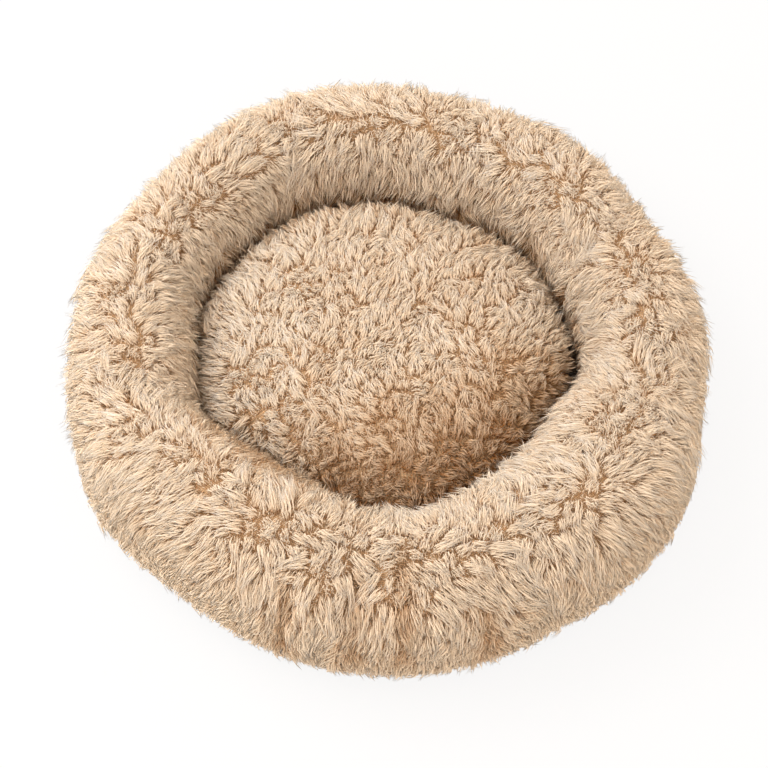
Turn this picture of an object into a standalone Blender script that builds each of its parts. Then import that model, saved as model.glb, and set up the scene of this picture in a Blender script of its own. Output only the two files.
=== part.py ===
"""Donut pet bed: a stuffed ring of long faux fur round a loose domed cushion, over a zipped base cloth.

Lengths are in metres. +Z is up, +X is the bed's right side and +Y its back. The origin is on the floor
at the ring's middle. Surfaces that nest share one grid of places round the ring, so they stay apart.
"""

import math
from types import SimpleNamespace

import bmesh
import bpy

# Ring: the outer faces of fur pieces lie at the mean surface of the pile
RING_RADIUS = 0.297  # from the middle to the outermost pile
RING_HEIGHT = 0.168  # from the floor to the crest
TUBE_WIDTH = 0.130  # across the stuffed tube, pile included
PILE_DEPTH = 0.014  # backing and pile of the ring's cover
LINER_CLOTH = 0.0012  # wall of the ring's inner case
CLEARANCE = 0.0003  # between pieces that touch on the real bed

# Base and sleeping floor
BASE_CLOTH = 0.0016
BASE_ARCH = 0.012  # how far the middle of the base stands clear of the floor
FLOOR_CLOTH = 0.0012
FLOOR_MARGIN = 0.0006  # from the cover's inner wall to the sleeping floor's rim
BINDING_WIDTH = 0.0045
BINDING_LIFT = 0.0005  # the binding's lower edge above the floor
BINDING_BEVEL = 0.0012

# Cushion
CUSHION_CLEARANCE = 0.003  # from the ring's throat to the cushion's side
CUSHION_HEIGHT = 0.092
CUSHION_SEAM_HEIGHT = 0.034  # from the cushion's underside to its side seam
CUSHION_PILE = 0.011  # backing and pile of the cushion's cover
CUSHION_BASE_CLOTH = 0.0012
PIPING_HEIGHT = 0.004
PIPING_WIDTH = 0.0042
PIPING_PROUD = 0.0004
PIPING_BEVEL = 0.001

# Zip across the base
ZIP_MARGIN = 0.036  # from each end of the zip to where the base comes down to the ring
ZIP_SLOT_WIDTH = 0.011
ZIP_SLOT_END = 0.006  # the slot runs this far past the rows at each end
TAPE_WIDTH = 0.016
TAPE_THICKNESS = 0.0006
TAPE_GAP = 0.0012  # between the two tapes' inner edges
TAPE_END = 0.012  # the tapes run this far past the rows at each end
ROW_WIDTH = 0.0026
ROW_HEIGHT = 0.0024
ROW_BEVEL = 0.0006
STOP_LENGTH = 0.004
STOP_WIDTH = 0.0068
STOP_HEIGHT = 0.0028

# Slider and pull tab
SLIDER_LENGTH = 0.011
SLIDER_PLATE = 0.0012
SLIDER_WALL = 0.0010
SLIDER_WALL_HEIGHT = 0.0020
LUG_WIDTH = 0.0016
LUG_LENGTH = 0.0070
LUG_HEIGHT = 0.0036
LUG_BAR = 0.0010
LUG_LEG = 0.0014
PULL_LENGTH = 0.024
PULL_WIDTH = 0.0075
PULL_NECK_WIDTH = 0.0060
PULL_THICKNESS = 0.0012
PULL_CROSSBAR = 0.0010
PULL_SLOT_LENGTH = 0.0060
PULL_SLOT_WIDTH = 0.0030
PULL_CORNER = 0.0016

# Places round the ring and round its section
TURN_STEPS = 48
SECTION_STEPS = 15
COVER_STEPS = 12  # of the section's steps, those that the fur covers
COVER_START_SHARE = -60.0 / 360.0  # where the cover's outer edge lies, as a share of a turn
ROUND_POWER = 2.0 / 2.2  # the tube's upper half is nearly an ellipse
FLAT_POWER = 2.0 / 3.5  # its lower half is flattened by its own weight
DOME_POWER = 2.0 / 2.5
BOWL_POWER = 2.0 / 3.4
BOWL_ROWS = 3  # rows of faces between the cushion underside's rim and its flat
SHARP_ANGLE = math.radians(50)  # edges sharper than this aren't shaded smooth

# Shares by place: 24 places round the ring from +X by way of +Y, read on a smooth closed curve
OUTER_SHARES = (
    1.000, 0.980, 0.955, 0.978, 0.980, 0.972,
    1.000, 1.002, 1.003, 0.988, 0.986, 1.005,
    1.000, 1.035, 1.028, 0.982, 0.982, 0.990,
    0.992, 0.993, 0.985, 1.018, 1.028, 1.007,
)
WIDTH_SHARES = (
    0.88, 0.83, 0.77, 0.79, 0.82, 0.81,
    0.81, 0.78, 0.76, 0.75, 0.74, 0.80,
    0.86, 0.96, 1.04, 1.09, 1.10, 1.04,
    1.00, 0.99, 1.02, 1.09, 1.11, 1.04,
)
HEIGHT_SHARES = (
    0.96, 0.95, 0.93, 0.93, 0.92, 0.91,
    0.91, 0.92, 0.92, 0.93, 0.94, 0.95,
    0.97, 0.99, 1.02, 1.04, 1.03, 1.01,
    1.00, 1.00, 1.02, 1.04, 1.02, 0.98,
)
# Pinches, where the cover's seams draw the tube in: place, spread, and how much of the width goes
PINCH_SHARES = (
    (0.547, 0.022, 0.10),
    (0.729, 0.012, 0.04),
    (0.771, 0.012, 0.03),
    (0.967, 0.022, 0.10),
)
CUSHION_REACH_SHARES = (
    0.950, 0.970, 0.990, 1.000, 1.000, 1.000,
    1.000, 1.000, 1.000, 1.000, 1.000, 1.000,
    1.000, 1.000, 1.000, 1.000, 1.000, 1.000,
    1.000, 1.000, 0.995, 0.985, 0.965, 0.950,
)
# Depth of the cover's solid at each of its places round the section, as a share of the pile's depth
COVER_DEPTH_SHARES = (0.15, 0.60, 1.0, 1.0, 1.0, 1.0, 1.0, 1.0, 1.0, 1.0, 1.0, 0.60, 0.15)
CUSHION_DEPTH_SHARES = (0.18, 0.75, 1.0, 1.0, 1.0, 1.0)
RAMP_FOOT_SHARE = 0.48  # where the base leaves the floor, as a share of the tube's half width
RAMP_TOP_SHARE = 0.95  # where it reaches its arch
BOWL_FLAT_SHARE = 0.70  # the flat of the cushion's underside, as a share of its reach
SLIT_PLACE_SHARE = 0.25  # where the stuffing slit lies round the ring
SLIT_STEPS = 3

# Colour, roughness and metallic value of each finish
FINISHES = {
    "ring_fur": ((0.74, 0.53, 0.36), 0.95, 0.0),
    "cushion_fur": ((0.70, 0.48, 0.31), 0.95, 0.0),
    "case_cloth": ((0.80, 0.78, 0.74), 0.90, 0.0),
    "fibre": ((0.90, 0.90, 0.88), 1.00, 0.0),
    "base_cloth": ((0.50, 0.38, 0.28), 0.85, 0.0),
    "binding": ((0.58, 0.42, 0.29), 0.85, 0.0),
    "zip_tape": ((0.60, 0.46, 0.34), 0.85, 0.0),
    "zip_row": ((0.55, 0.42, 0.31), 0.45, 0.0),
    "zip_metal": ((0.62, 0.58, 0.52), 0.35, 1.0),
}


def clear_scene():
    for item in list(bpy.data.objects):
        bpy.data.objects.remove(item, do_unlink=True)


def finish(name):
    """The material of this name, made the first time it is asked for."""
    found = bpy.data.materials.get(name)
    if found:
        return found
    colour, roughness, metallic = FINISHES[name]
    made = bpy.data.materials.new(name)
    made.use_nodes = True
    shader = made.node_tree.nodes["Principled BSDF"]
    shader.inputs["Base Color"].default_value = (*colour, 1.0)
    shader.inputs["Roughness"].default_value = roughness
    shader.inputs["Metallic"].default_value = metallic
    made.diffuse_color = (*colour, 1.0)
    return made


def wrapped(shares, turn):
    """The table's value at this turn round the ring, on a smooth curve through its places."""
    place = turn % 1.0 * len(shares)
    first = int(place)
    part = place - first
    before, here, after, beyond = (shares[(first + step) % len(shares)] for step in (-1, 0, 1, 2))
    bend = 2 * before - 5 * here + 4 * after - beyond
    twist = 3 * here - before - 3 * after + beyond
    return 0.5 * (2 * here + (after - before) * part + bend * part**2 + twist * part**3)


def signed_power(value, power):
    return math.copysign(abs(value) ** power, value)


def pinched(turn):
    """What the pinches leave of the tube's width at this turn."""
    left = 1.0
    for place, spread, depth in PINCH_SHARES:
        away = (turn - place + 0.5) % 1.0 - 0.5
        left -= depth * math.exp(-((away / spread) ** 2))
    return left


def tube_at(turn):
    """The stuffed tube's section at this turn round the ring: its middle and its half sizes."""
    outer = RING_RADIUS * wrapped(OUTER_SHARES, turn)
    width = TUBE_WIDTH * wrapped(WIDTH_SHARES, turn)
    kept = pinched(turn)
    height = RING_HEIGHT * wrapped(HEIGHT_SHARES, turn) * kept
    return SimpleNamespace(
        middle=outer - width / 2,
        half_width=width * kept / 2,
        half_height=height / 2,
    )


def turned(turn, radius, height):
    angle = math.tau * turn
    return (radius * math.cos(angle), radius * math.sin(angle), height)


def turns():
    return [step / TURN_STEPS for step in range(TURN_STEPS)]


def tube_loop(section_share, inset):
    """A loop round the ring, at one place of the tube's section, inset below the pile's surface."""
    angle = math.tau * section_share
    power = ROUND_POWER if math.sin(angle) >= 0 else FLAT_POWER
    across = signed_power(math.cos(angle), power)
    up = signed_power(math.sin(angle), power)
    loop = []
    for turn in turns():
        tube = tube_at(turn)
        radius = tube.middle + (tube.half_width - inset) * across
        height = tube.half_height + (tube.half_height - inset) * up
        loop.append(turned(turn, radius, height))
    return loop


def section_share(step):
    """The place of this step round the tube's section, from the cover's outer edge over the crest."""
    return COVER_START_SHARE + step / SECTION_STEPS


def cover_depth(step):
    return PILE_DEPTH * COVER_DEPTH_SHARES[step]


def new_object(name, mesh, finish_name, smooth):
    piece = bpy.data.objects.new(name, mesh)
    bpy.context.scene.collection.objects.link(piece)
    mesh.materials.append(finish(finish_name))
    if smooth:
        mesh.shade_smooth()
        mesh.set_sharp_from_angle(angle=SHARP_ANGLE)
    return piece


def mesh_of(name, shape):
    bmesh.ops.recalc_face_normals(shape, faces=shape.faces)
    mesh = bpy.data.meshes.new(name)
    shape.to_mesh(mesh)
    shape.free()
    return mesh


def skin_between(shape, first, second, skipped=()):
    """Faces between two loops of as many corners, leaving out the steps that are skipped.

    Each four corners are cut along the same diagonal, so surfaces that nest stay parallel.
    """
    count = len(first)
    for step in range(count):
        if step not in skipped:
            after = (step + 1) % count
            shape.faces.new((first[step], first[after], second[after]))
            shape.faces.new((first[step], second[after], second[step]))


def skinned_sheet(shape, loops):
    """The loops' corners in the shape, with faces between each loop and the next."""
    rings = [[shape.verts.new(point) for point in loop] for loop in loops]
    for first, second in zip(rings, rings[1:]):
        skin_between(shape, first, second)
    return rings


def cap(shape, loop, point):
    """A fan of faces from a loop to one point."""
    pole = shape.verts.new(point)
    for step, corner in enumerate(loop):
        shape.faces.new((corner, loop[(step + 1) % len(loop)], pole))


def lofted(name, loops, finish_name, smooth=True):
    """A solid skinned over loops in order, which closes on itself like a hoop."""
    shape = bmesh.new()
    rings = skinned_sheet(shape, loops)
    skin_between(shape, rings[-1], rings[0])
    return new_object(name, mesh_of(name, shape), finish_name, smooth)


def shell(name, outside, inside, finish_name, poles=()):
    """A solid between two sheets that are joined at their first loops.

    With poles, each sheet closes in a point. Without, the sheets are joined at their last loops too.
    """
    shape = bmesh.new()
    outer = skinned_sheet(shape, outside)
    inner = skinned_sheet(shape, inside)
    skin_between(shape, outer[0], inner[0])
    if poles:
        cap(shape, outer[-1], poles[0])
        cap(shape, inner[-1], poles[1])
    else:
        skin_between(shape, outer[-1], inner[-1])
    return new_object(name, mesh_of(name, shape), finish_name, smooth=True)


def prism(name, outline, placed, depth, finish_name):
    """A flat outline made solid: placed turns its corners and a depth into points."""
    loops = [[placed(across, up, side) for across, up in outline] for side in depth]
    shape = bmesh.new()
    rings = [[shape.verts.new(point) for point in loop] for loop in loops]
    skin_between(shape, *rings)
    for ring in rings:
        shape.faces.new(ring)
    return new_object(name, mesh_of(name, shape), finish_name, smooth=False)


def bevelled_box(low_across, high_across, low_up, high_up, bevel):
    """The outline of a box with its corners cut off."""
    return [
        (low_across + bevel, low_up),
        (high_across - bevel, low_up),
        (high_across, low_up + bevel),
        (high_across, high_up - bevel),
        (high_across - bevel, high_up),
        (low_across + bevel, high_up),
        (low_across, high_up - bevel),
        (low_across, low_up + bevel),
    ]


def along_x(across, up, side):
    return (side, across, up)


def along_y(across, up, side):
    return (across, side, up)


def along_z(across, up, side):
    return (across, up, side)


# Ring


def make_bolster_cover():
    steps = range(COVER_STEPS + 1)
    outside = [tube_loop(section_share(step), 0.0) for step in steps]
    inside = [tube_loop(section_share(step), cover_depth(step)) for step in steps]
    shell("bolster_cover", outside, inside, "ring_fur")


def liner_inset(step):
    """How far the ring's inner case lies below the pile's surface at this step of the section."""
    if step <= COVER_STEPS:
        return cover_depth(step) + CLEARANCE
    return BASE_CLOTH + CLEARANCE


def make_bolster_liner():
    """The inner case, a closed tube of cloth but for the slit that it is stuffed through."""
    shape = bmesh.new()
    walls = []
    for wall in (0.0, LINER_CLOTH):
        walls.append(
            [
                [
                    shape.verts.new(point)
                    for point in tube_loop(section_share(step), liner_inset(step) + wall)
                ]
                for step in range(SECTION_STEPS)
            ]
        )
    slit_start = round(SLIT_PLACE_SHARE * TURN_STEPS)
    slit = range(slit_start, slit_start + SLIT_STEPS)
    slit_row = COVER_STEPS + 1
    for rings in walls:
        for step, ring in enumerate(rings):
            after = rings[(step + 1) % SECTION_STEPS]
            skin_between(shape, ring, after, skipped=slit if step == slit_row else ())
    outer, inner = walls
    for row in (slit_row, slit_row + 1):
        for step in slit:
            ends = (outer[row][step], outer[row][step + 1], inner[row][step + 1], inner[row][step])
            shape.faces.new(ends)
    for step in (slit_start, slit_start + SLIT_STEPS):
        ends = (
            outer[slit_row][step],
            outer[slit_row + 1][step],
            inner[slit_row + 1][step],
            inner[slit_row][step],
        )
        shape.faces.new(ends)
    new_object("bolster_liner", mesh_of("bolster_liner", shape), "case_cloth", smooth=True)


def make_bolster_fill():
    loops = [
        tube_loop(section_share(step), liner_inset(step) + LINER_CLOTH + CLEARANCE)
        for step in range(SECTION_STEPS)
    ]
    lofted("bolster_fill", loops, "fibre")


# Base and sleeping floor


def seam_radius(turn, step):
    """How far from the middle the cover lies at a step of the section's lower half."""
    tube = tube_at(turn)
    across = signed_power(math.cos(math.tau * section_share(step)), FLAT_POWER)
    return tube.middle + tube.half_width * across


def seam_height(turn, step):
    tube = tube_at(turn)
    up = signed_power(math.sin(math.tau * section_share(step)), FLAT_POWER)
    return tube.half_height * (1 + up)


def inner_wall_radius(turn, height):
    """How far from the middle the cover's inner wall lies at this height, between its last two loops."""
    far, near = seam_radius(turn, COVER_STEPS), seam_radius(turn, COVER_STEPS - 1)
    low, high = seam_height(turn, COVER_STEPS), seam_height(turn, COVER_STEPS - 1)
    return far + (near - far) * (height - low) / (high - low)


def base_loop(share, height):
    """A loop of the base cloth, this share of the tube's half width inside the tube's middle."""
    loop = []
    for turn in turns():
        tube = tube_at(turn)
        loop.append(turned(turn, tube.middle - tube.half_width * share, height))
    return loop


def arch_reach(turn):
    """How far from the middle the base comes down to the ring."""
    tube = tube_at(turn)
    return tube.middle - tube.half_width * RAMP_TOP_SHARE


ZIP_TURN_SHARES = (0.0, 0.5)  # where the zip's two ends point
ZIP_LENGTH = 2 * (min(arch_reach(turn) for turn in ZIP_TURN_SHARES) - ZIP_MARGIN)


def slot_loop(height):
    """The slot for the zip: long and narrow, with its corners where the loops of the base need them."""
    half_length = ZIP_LENGTH / 2 + ZIP_SLOT_END
    loop = []
    for turn in turns():
        angle = math.tau * turn
        full_width_share = min(1.0, abs(math.sin(angle)) * TURN_STEPS / math.tau)
        side = math.copysign(ZIP_SLOT_WIDTH / 2 * full_width_share, math.sin(angle))
        loop.append((half_length * math.cos(angle), side, height))
    return loop


def base_rim(turn):
    return seam_radius(turn, 0) - BINDING_WIDTH - CLEARANCE


def make_base_panel():
    def layer(lift):
        rim = [turned(turn, base_rim(turn), lift) for turn in turns()]
        return [
            rim,
            base_loop(RAMP_FOOT_SHARE, lift),
            base_loop(RAMP_TOP_SHARE, BASE_ARCH + lift),
            slot_loop(BASE_ARCH + lift),
        ]

    shell("base_panel", layer(0.0), layer(BASE_CLOTH), "base_cloth")


def ring_trim(name, reach, low, high, width, bevel, finish_name):
    """A narrow closed strip round the bed. Its outer radius and its heights are functions of the turn."""
    loops = []
    for across, up in ((0, 0), (1, 0), (1, 1), (0, 1)):
        loop = []
        for turn in turns():
            radius = reach(turn) - width + (width - bevel * up) * across
            height = low(turn) + (high(turn) - low(turn)) * up
            loop.append(turned(turn, radius, height))
        loops.append(loop)
    return lofted(name, loops, finish_name)


def make_base_binding():
    ring_trim(
        "base_binding",
        reach=lambda turn: seam_radius(turn, 0),
        low=lambda turn: BINDING_LIFT,
        high=lambda turn: seam_height(turn, 0) - CLEARANCE,
        width=BINDING_WIDTH,
        bevel=BINDING_BEVEL,
        finish_name="binding",
    )


TAPE_LOW = BASE_ARCH + BASE_CLOTH + CLEARANCE
FLOOR_LOW = TAPE_LOW + TAPE_THICKNESS + CLEARANCE


def make_floor_panel():
    high = FLOOR_LOW + FLOOR_CLOTH

    def rim(height):
        return [
            turned(turn, inner_wall_radius(turn, high) - FLOOR_MARGIN, height) for turn in turns()
        ]

    poles = ((0.0, 0.0, high), (0.0, 0.0, FLOOR_LOW))
    shell("floor_panel", [rim(high)], [rim(FLOOR_LOW)], "case_cloth", poles)


# Zip


ROW_HIGH = TAPE_LOW - CLEARANCE
ROW_LOW = ROW_HIGH - ROW_HEIGHT
SLIDER_HIGH = ROW_LOW - CLEARANCE
SLIDER_LOW = SLIDER_HIGH - SLIDER_PLATE
SLIDER_HALF_WIDTH = CLEARANCE / 2 + ROW_WIDTH + CLEARANCE + SLIDER_WALL
SLIDER_REST = ZIP_LENGTH / 2 - STOP_LENGTH - CLEARANCE - SLIDER_LENGTH / 2
LUG_HOLE = LUG_HEIGHT - LUG_BAR
PULL_AXIS_HEIGHT = SLIDER_LOW - LUG_HOLE / 2


def make_zip_tapes():
    half_length = ZIP_LENGTH / 2 + TAPE_END
    for name, side in (("zip_tape_front", -1), ("zip_tape_back", 1)):
        near = side * TAPE_GAP / 2
        far = side * (TAPE_GAP / 2 + TAPE_WIDTH)
        high = TAPE_LOW + TAPE_THICKNESS
        outline = [(near, TAPE_LOW), (far, TAPE_LOW), (far, high), (near, high)]
        prism(name, outline, along_x, (-half_length, half_length), "zip_tape")


def make_zip_rows():
    """The two rows of coil, each a bead along its tape between the end stops."""
    half_length = ZIP_LENGTH / 2 - STOP_LENGTH - CLEARANCE
    for name, side in (("zip_coil_front", -1), ("zip_coil_back", 1)):
        low, high = sorted((side * CLEARANCE / 2, side * (CLEARANCE / 2 + ROW_WIDTH)))
        outline = bevelled_box(low, high, ROW_LOW, ROW_HIGH, ROW_BEVEL)
        prism(name, outline, along_x, (-half_length, half_length), "zip_row")


def make_zip_stops():
    for name, side in (("zip_stop_left", -1), ("zip_stop_right", 1)):
        ends = (side * ZIP_LENGTH / 2, side * (ZIP_LENGTH / 2 - STOP_LENGTH))
        outline = bevelled_box(
            -STOP_WIDTH / 2, STOP_WIDTH / 2, ROW_HIGH - STOP_HEIGHT, ROW_HIGH, ROW_BEVEL
        )
        prism(name, outline, along_x, ends, "zip_metal")


def make_zip_slider():
    """The slider's outer half: a plate with raised sides that hold the rows, and a lug for the pull."""
    wall_high = SLIDER_HIGH + SLIDER_WALL_HEIGHT
    wall_inside = SLIDER_HALF_WIDTH - SLIDER_WALL
    outline = [
        (-SLIDER_HALF_WIDTH, SLIDER_LOW),
        (SLIDER_HALF_WIDTH, SLIDER_LOW),
        (SLIDER_HALF_WIDTH, wall_high),
        (wall_inside, wall_high),
        (wall_inside, SLIDER_HIGH),
        (-wall_inside, SLIDER_HIGH),
        (-wall_inside, wall_high),
        (-SLIDER_HALF_WIDTH, wall_high),
    ]
    ends = (-SLIDER_LENGTH / 2, SLIDER_LENGTH / 2)
    slider = prism("zip_slider", outline, along_x, ends, "zip_metal")
    slider.location.x = SLIDER_REST
    bite = SLIDER_PLATE / 2
    low = SLIDER_LOW - LUG_HEIGHT
    near, far = -LUG_LENGTH / 2, LUG_LENGTH / 2
    arch = [
        (near, SLIDER_LOW + bite),
        (near, low),
        (far, low),
        (far, SLIDER_LOW + bite),
        (far - LUG_LEG, SLIDER_LOW + bite),
        (far - LUG_LEG, low + LUG_BAR),
        (near + LUG_LEG, low + LUG_BAR),
        (near + LUG_LEG, SLIDER_LOW + bite),
    ]
    lug = prism("slider_lug_shape", arch, along_y, (-LUG_WIDTH / 2, LUG_WIDTH / 2), "zip_metal")
    lug.parent = slider
    lug.hide_render = True
    lug.display_type = "WIRE"
    join = slider.modifiers.new("lug", "BOOLEAN")
    join.operation = "UNION"
    join.solver = "EXACT"
    join.object = lug
    return slider


def make_zip_pull(slider):
    """The pull tab. Its crossbar lies through the slider's lug, on the hinge's axis."""
    near = PULL_CROSSBAR / 2
    tip = near - PULL_LENGTH
    slot_end = -near - PULL_SLOT_LENGTH
    neck, wide = PULL_NECK_WIDTH / 2, PULL_WIDTH / 2
    slot = PULL_SLOT_WIDTH / 2
    outside = [
        (near, -neck),
        (near, neck),
        (slot_end, neck),
        (tip + PULL_CORNER, wide),
        (tip, wide - PULL_CORNER),
        (tip, PULL_CORNER - wide),
        (tip + PULL_CORNER, -wide),
        (slot_end, -neck),
    ]
    middle = (slot_end - near) / 2
    inside = [
        (-near, -slot),
        (-near, slot),
        (middle, slot),
        (slot_end, slot),
        (slot_end, slot / 2),
        (slot_end, -slot / 2),
        (slot_end, -slot),
        (middle, -slot),
    ]
    loops = []
    for outline, height in (
        (outside, -PULL_THICKNESS / 2),
        (outside, PULL_THICKNESS / 2),
        (inside, PULL_THICKNESS / 2),
        (inside, -PULL_THICKNESS / 2),
    ):
        loops.append([along_z(across, side, height) for across, side in outline])
    pull = lofted("zip_pull", loops, "zip_metal", smooth=False)
    pull.parent = slider
    pull.location.z = PULL_AXIS_HEIGHT


# Cushion


CUSHION_LOW = FLOOR_LOW + FLOOR_CLOTH + CLEARANCE
SEAM_LEVEL = CUSHION_LOW + CUSHION_SEAM_HEIGHT
CROWN_RISE = CUSHION_HEIGHT - CUSHION_SEAM_HEIGHT
PIPING_HIGH = SEAM_LEVEL - CLEARANCE
PIPING_LOW = PIPING_HIGH - PIPING_HEIGHT
BOWL_LEVEL = PIPING_LOW - CLEARANCE
BOWL_DEPTH = BOWL_LEVEL - CUSHION_LOW


def cushion_reach(turn):
    tube = tube_at(turn)
    throat = tube.middle - tube.half_width
    return (throat - CUSHION_CLEARANCE) * wrapped(CUSHION_REACH_SHARES, turn)


def dome_loops(insets):
    """Loops of the dome from the seam upwards, each inset below the pile's surface."""
    loops = []
    for step, inset in enumerate(insets):
        angle = math.tau / 4 * step / len(insets)
        across = math.cos(angle) ** DOME_POWER
        height = SEAM_LEVEL + (CROWN_RISE - inset) * math.sin(angle) ** DOME_POWER
        loops.append([turned(turn, (cushion_reach(turn) - inset) * across, height) for turn in turns()])
    return loops


def bowl_loops(inset, lift):
    """Loops of the cushion's underside, from its rim down to its flat."""
    loops = []
    for row in range(BOWL_ROWS):
        angle = math.tau / 4 * row / (BOWL_ROWS + 1)
        across = math.cos(angle) ** BOWL_POWER
        height = BOWL_LEVEL - (BOWL_DEPTH - lift) * math.sin(angle) ** BOWL_POWER
        loops.append([turned(turn, (cushion_reach(turn) - inset) * across, height) for turn in turns()])
    low = CUSHION_LOW + lift
    flat = [turned(turn, (cushion_reach(turn) - inset) * BOWL_FLAT_SHARE, low) for turn in turns()]
    return [*loops, flat]


def crown(inset):
    return (0.0, 0.0, SEAM_LEVEL + CROWN_RISE - inset)


def make_cushion_cover():
    depths = [CUSHION_PILE * share for share in CUSHION_DEPTH_SHARES]
    outside = dome_loops([0.0] * len(depths))
    poles = (crown(0.0), crown(depths[-1]))
    return shell("cushion_cover", outside, dome_loops(depths), "cushion_fur", poles)


def make_cushion_base():
    outside = bowl_loops(PIPING_PROUD, 0.0)
    inside = bowl_loops(PIPING_PROUD + CUSHION_BASE_CLOTH, CUSHION_BASE_CLOTH)
    poles = ((0.0, 0.0, CUSHION_LOW), (0.0, 0.0, CUSHION_LOW + CUSHION_BASE_CLOTH))
    return shell("cushion_base", outside, inside, "case_cloth", poles)


def make_cushion_piping():
    return ring_trim(
        "cushion_piping",
        reach=cushion_reach,
        low=lambda turn: PIPING_LOW,
        high=lambda turn: PIPING_HIGH,
        width=PIPING_WIDTH,
        bevel=PIPING_BEVEL,
        finish_name="binding",
    )


def make_cushion_fill():
    waist = PIPING_WIDTH + CLEARANCE
    insets = [max(CUSHION_PILE * share + CLEARANCE, waist) for share in CUSHION_DEPTH_SHARES]
    lift = CUSHION_BASE_CLOTH + CLEARANCE
    poles = (crown(insets[-1]), (0.0, 0.0, CUSHION_LOW + lift))
    return shell("cushion_fill", dome_loops(insets), bowl_loops(waist, lift), "fibre", poles)


def make_cushion():
    """The loose cushion's pieces, carried by an empty on the line that it lifts along."""
    carrier = bpy.data.objects.new("cushion_carrier", None)
    bpy.context.scene.collection.objects.link(carrier)
    for make in (make_cushion_cover, make_cushion_base, make_cushion_piping, make_cushion_fill):
        make().parent = carrier


def main():
    clear_scene()
    make_bolster_cover()
    make_bolster_liner()
    make_bolster_fill()
    make_base_panel()
    make_base_binding()
    make_floor_panel()
    make_zip_tapes()
    make_zip_rows()
    make_zip_stops()
    make_zip_pull(make_zip_slider())
    make_cushion()


main()
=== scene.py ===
"""Donut pet bed: the pile, cloths, zip and stitching of a round plush bed, made round its fixed frame.

Lengths are in metres. +Z is up, +X is the bed's right side and +Y its back.
"""

import math

import bmesh
import bpy
import numpy as np
from bpy.props import FloatProperty, FloatVectorProperty, IntProperty, PointerProperty
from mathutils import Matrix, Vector, noise
from mathutils.bvhtree import BVHTree


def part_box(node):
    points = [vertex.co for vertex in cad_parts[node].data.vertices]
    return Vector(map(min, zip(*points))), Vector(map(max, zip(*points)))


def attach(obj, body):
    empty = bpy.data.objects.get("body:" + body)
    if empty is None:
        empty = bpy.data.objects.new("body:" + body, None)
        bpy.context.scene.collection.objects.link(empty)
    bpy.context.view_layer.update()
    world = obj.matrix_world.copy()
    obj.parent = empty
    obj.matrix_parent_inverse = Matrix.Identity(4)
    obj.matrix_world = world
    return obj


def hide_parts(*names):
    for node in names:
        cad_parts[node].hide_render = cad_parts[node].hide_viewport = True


bl_info = {
    "name": "Donut Pet Bed",
    "version": (1, 0, 0),
    "blender": (4, 5, 0),
    "location": "View3D > Sidebar > Pet Bed",
    "description": "Makes a round plush pet bed with long pile, a loose cushion and a zipped base",
    "category": "Object",
}

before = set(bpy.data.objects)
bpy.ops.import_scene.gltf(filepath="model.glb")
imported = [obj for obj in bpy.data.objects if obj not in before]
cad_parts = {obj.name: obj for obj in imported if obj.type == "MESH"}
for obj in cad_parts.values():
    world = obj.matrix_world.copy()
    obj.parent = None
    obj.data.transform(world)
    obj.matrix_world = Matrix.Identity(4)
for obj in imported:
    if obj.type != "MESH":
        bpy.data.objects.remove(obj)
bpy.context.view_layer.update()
UP = Vector((0.0, 0.0, 1.0))

# How the nodes of the frame are measured
FAR = 1.0  # outside every piece
TUBE_REACH = 0.125  # outside the stuffed tube, from its middle
TUBE_LEAST = 0.02  # less than the tube's half height
BASE_PROBE = 0.0008  # a height inside the base cloth's thickness
MERGE = 0.00001  # corners nearer than this are one

# How many places lie round a form, and how many along its section
RING_TURNS = 240
RING_STEPS = 60
CASE_STEPS = 64
FILLING_STEPS = 48
CUSHION_TURNS = 144
CUSHION_STEPS = 26
CUSHION_FILLING_STEPS = 40
UNDERSIDE_STEPS = 44
BASE_STEPS = 34
FLOOR_STEPS = 30
BAND_TURNS = 560
TAPE_STEPS = 64
SECTORS = 8  # the ring's pile is made in this many pieces
CUSHION_SECTORS = 3

# Where the fur starts and ends on each cover's section: degrees up from its outer side
RING_LOW = -61
RING_HIGH = 234
CUSHION_LOW = 1
PILE_DEPTH = 0.0092  # from the pile's mean surface down to its backing
HEM_DEPTH = 0.0006  # the same at the ring's lower hem
HEM_LEVEL = 0.0060  # the ring's fur ends this far above the floor, on the binding
CUSHION_PILE_DEPTH = 0.0072
BACKING_CLOTH = 0.0008
BACKING_COLOUR = (0.88, 0.57, 0.31)
KNIT_PITCH = 0.0016
HAIR_CLEAR = 0.0004  # the lowest hair lies this far above the floor
HAIR_LEAST = (-10.0, -10.0, HAIR_CLEAR)  # no hair reaches lower than this in x, y and z
HAIR_WIDEST = 0.42  # a hair is widest at this share of its length
UNDER_STRAY = 0.0042  # how far the tips of the short upright hairs scatter
MOST_TUFTS = 20000.0  # for each square metre
MOST_LOCKS = 40000.0

# Where the cushion's pile differs from the ring's
CUSHION_PILE = {
    "hair_length": 0.0185,
    "hair_radius": 0.00056,
    "density": 500000.0,
    "lock_spacing": 0.0058,
    "pull": 0.42,
    "spread": 0.0034,
    "tuft_spacing": 0.0125,
    "tuft_pull": 0.30,
    "tuft_stray": 0.85,
    "lift": 0.44,
    "lean": 0.50,
    "under_height": 0.0050,
}

# Whorls, where the hairs part from one point: x, y, reach
WHORL_LEVEL = 0.09  # the ring's whorls lie above this height
WHORL_LIMIT = 2.5  # a whorl has no effect beyond this many times its reach
WHORLS = (
    (0.139, -0.196, 0.042),
    (0.178, -0.173, 0.034),
    (-0.141, 0.137, 0.045),
    (-0.166, -0.124, 0.048),
    (0.033, -0.215, 0.036),
    (0.235, 0.060, 0.040),
    (0.030, 0.235, 0.040),
)
CUSHION_WHORLS = (
    (-0.075, -0.045, 0.040),
    (0.060, 0.050, 0.045),
    (0.020, -0.095, 0.035),
    (0.115, -0.020, 0.035),
    (-0.040, 0.100, 0.040),
)

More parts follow.
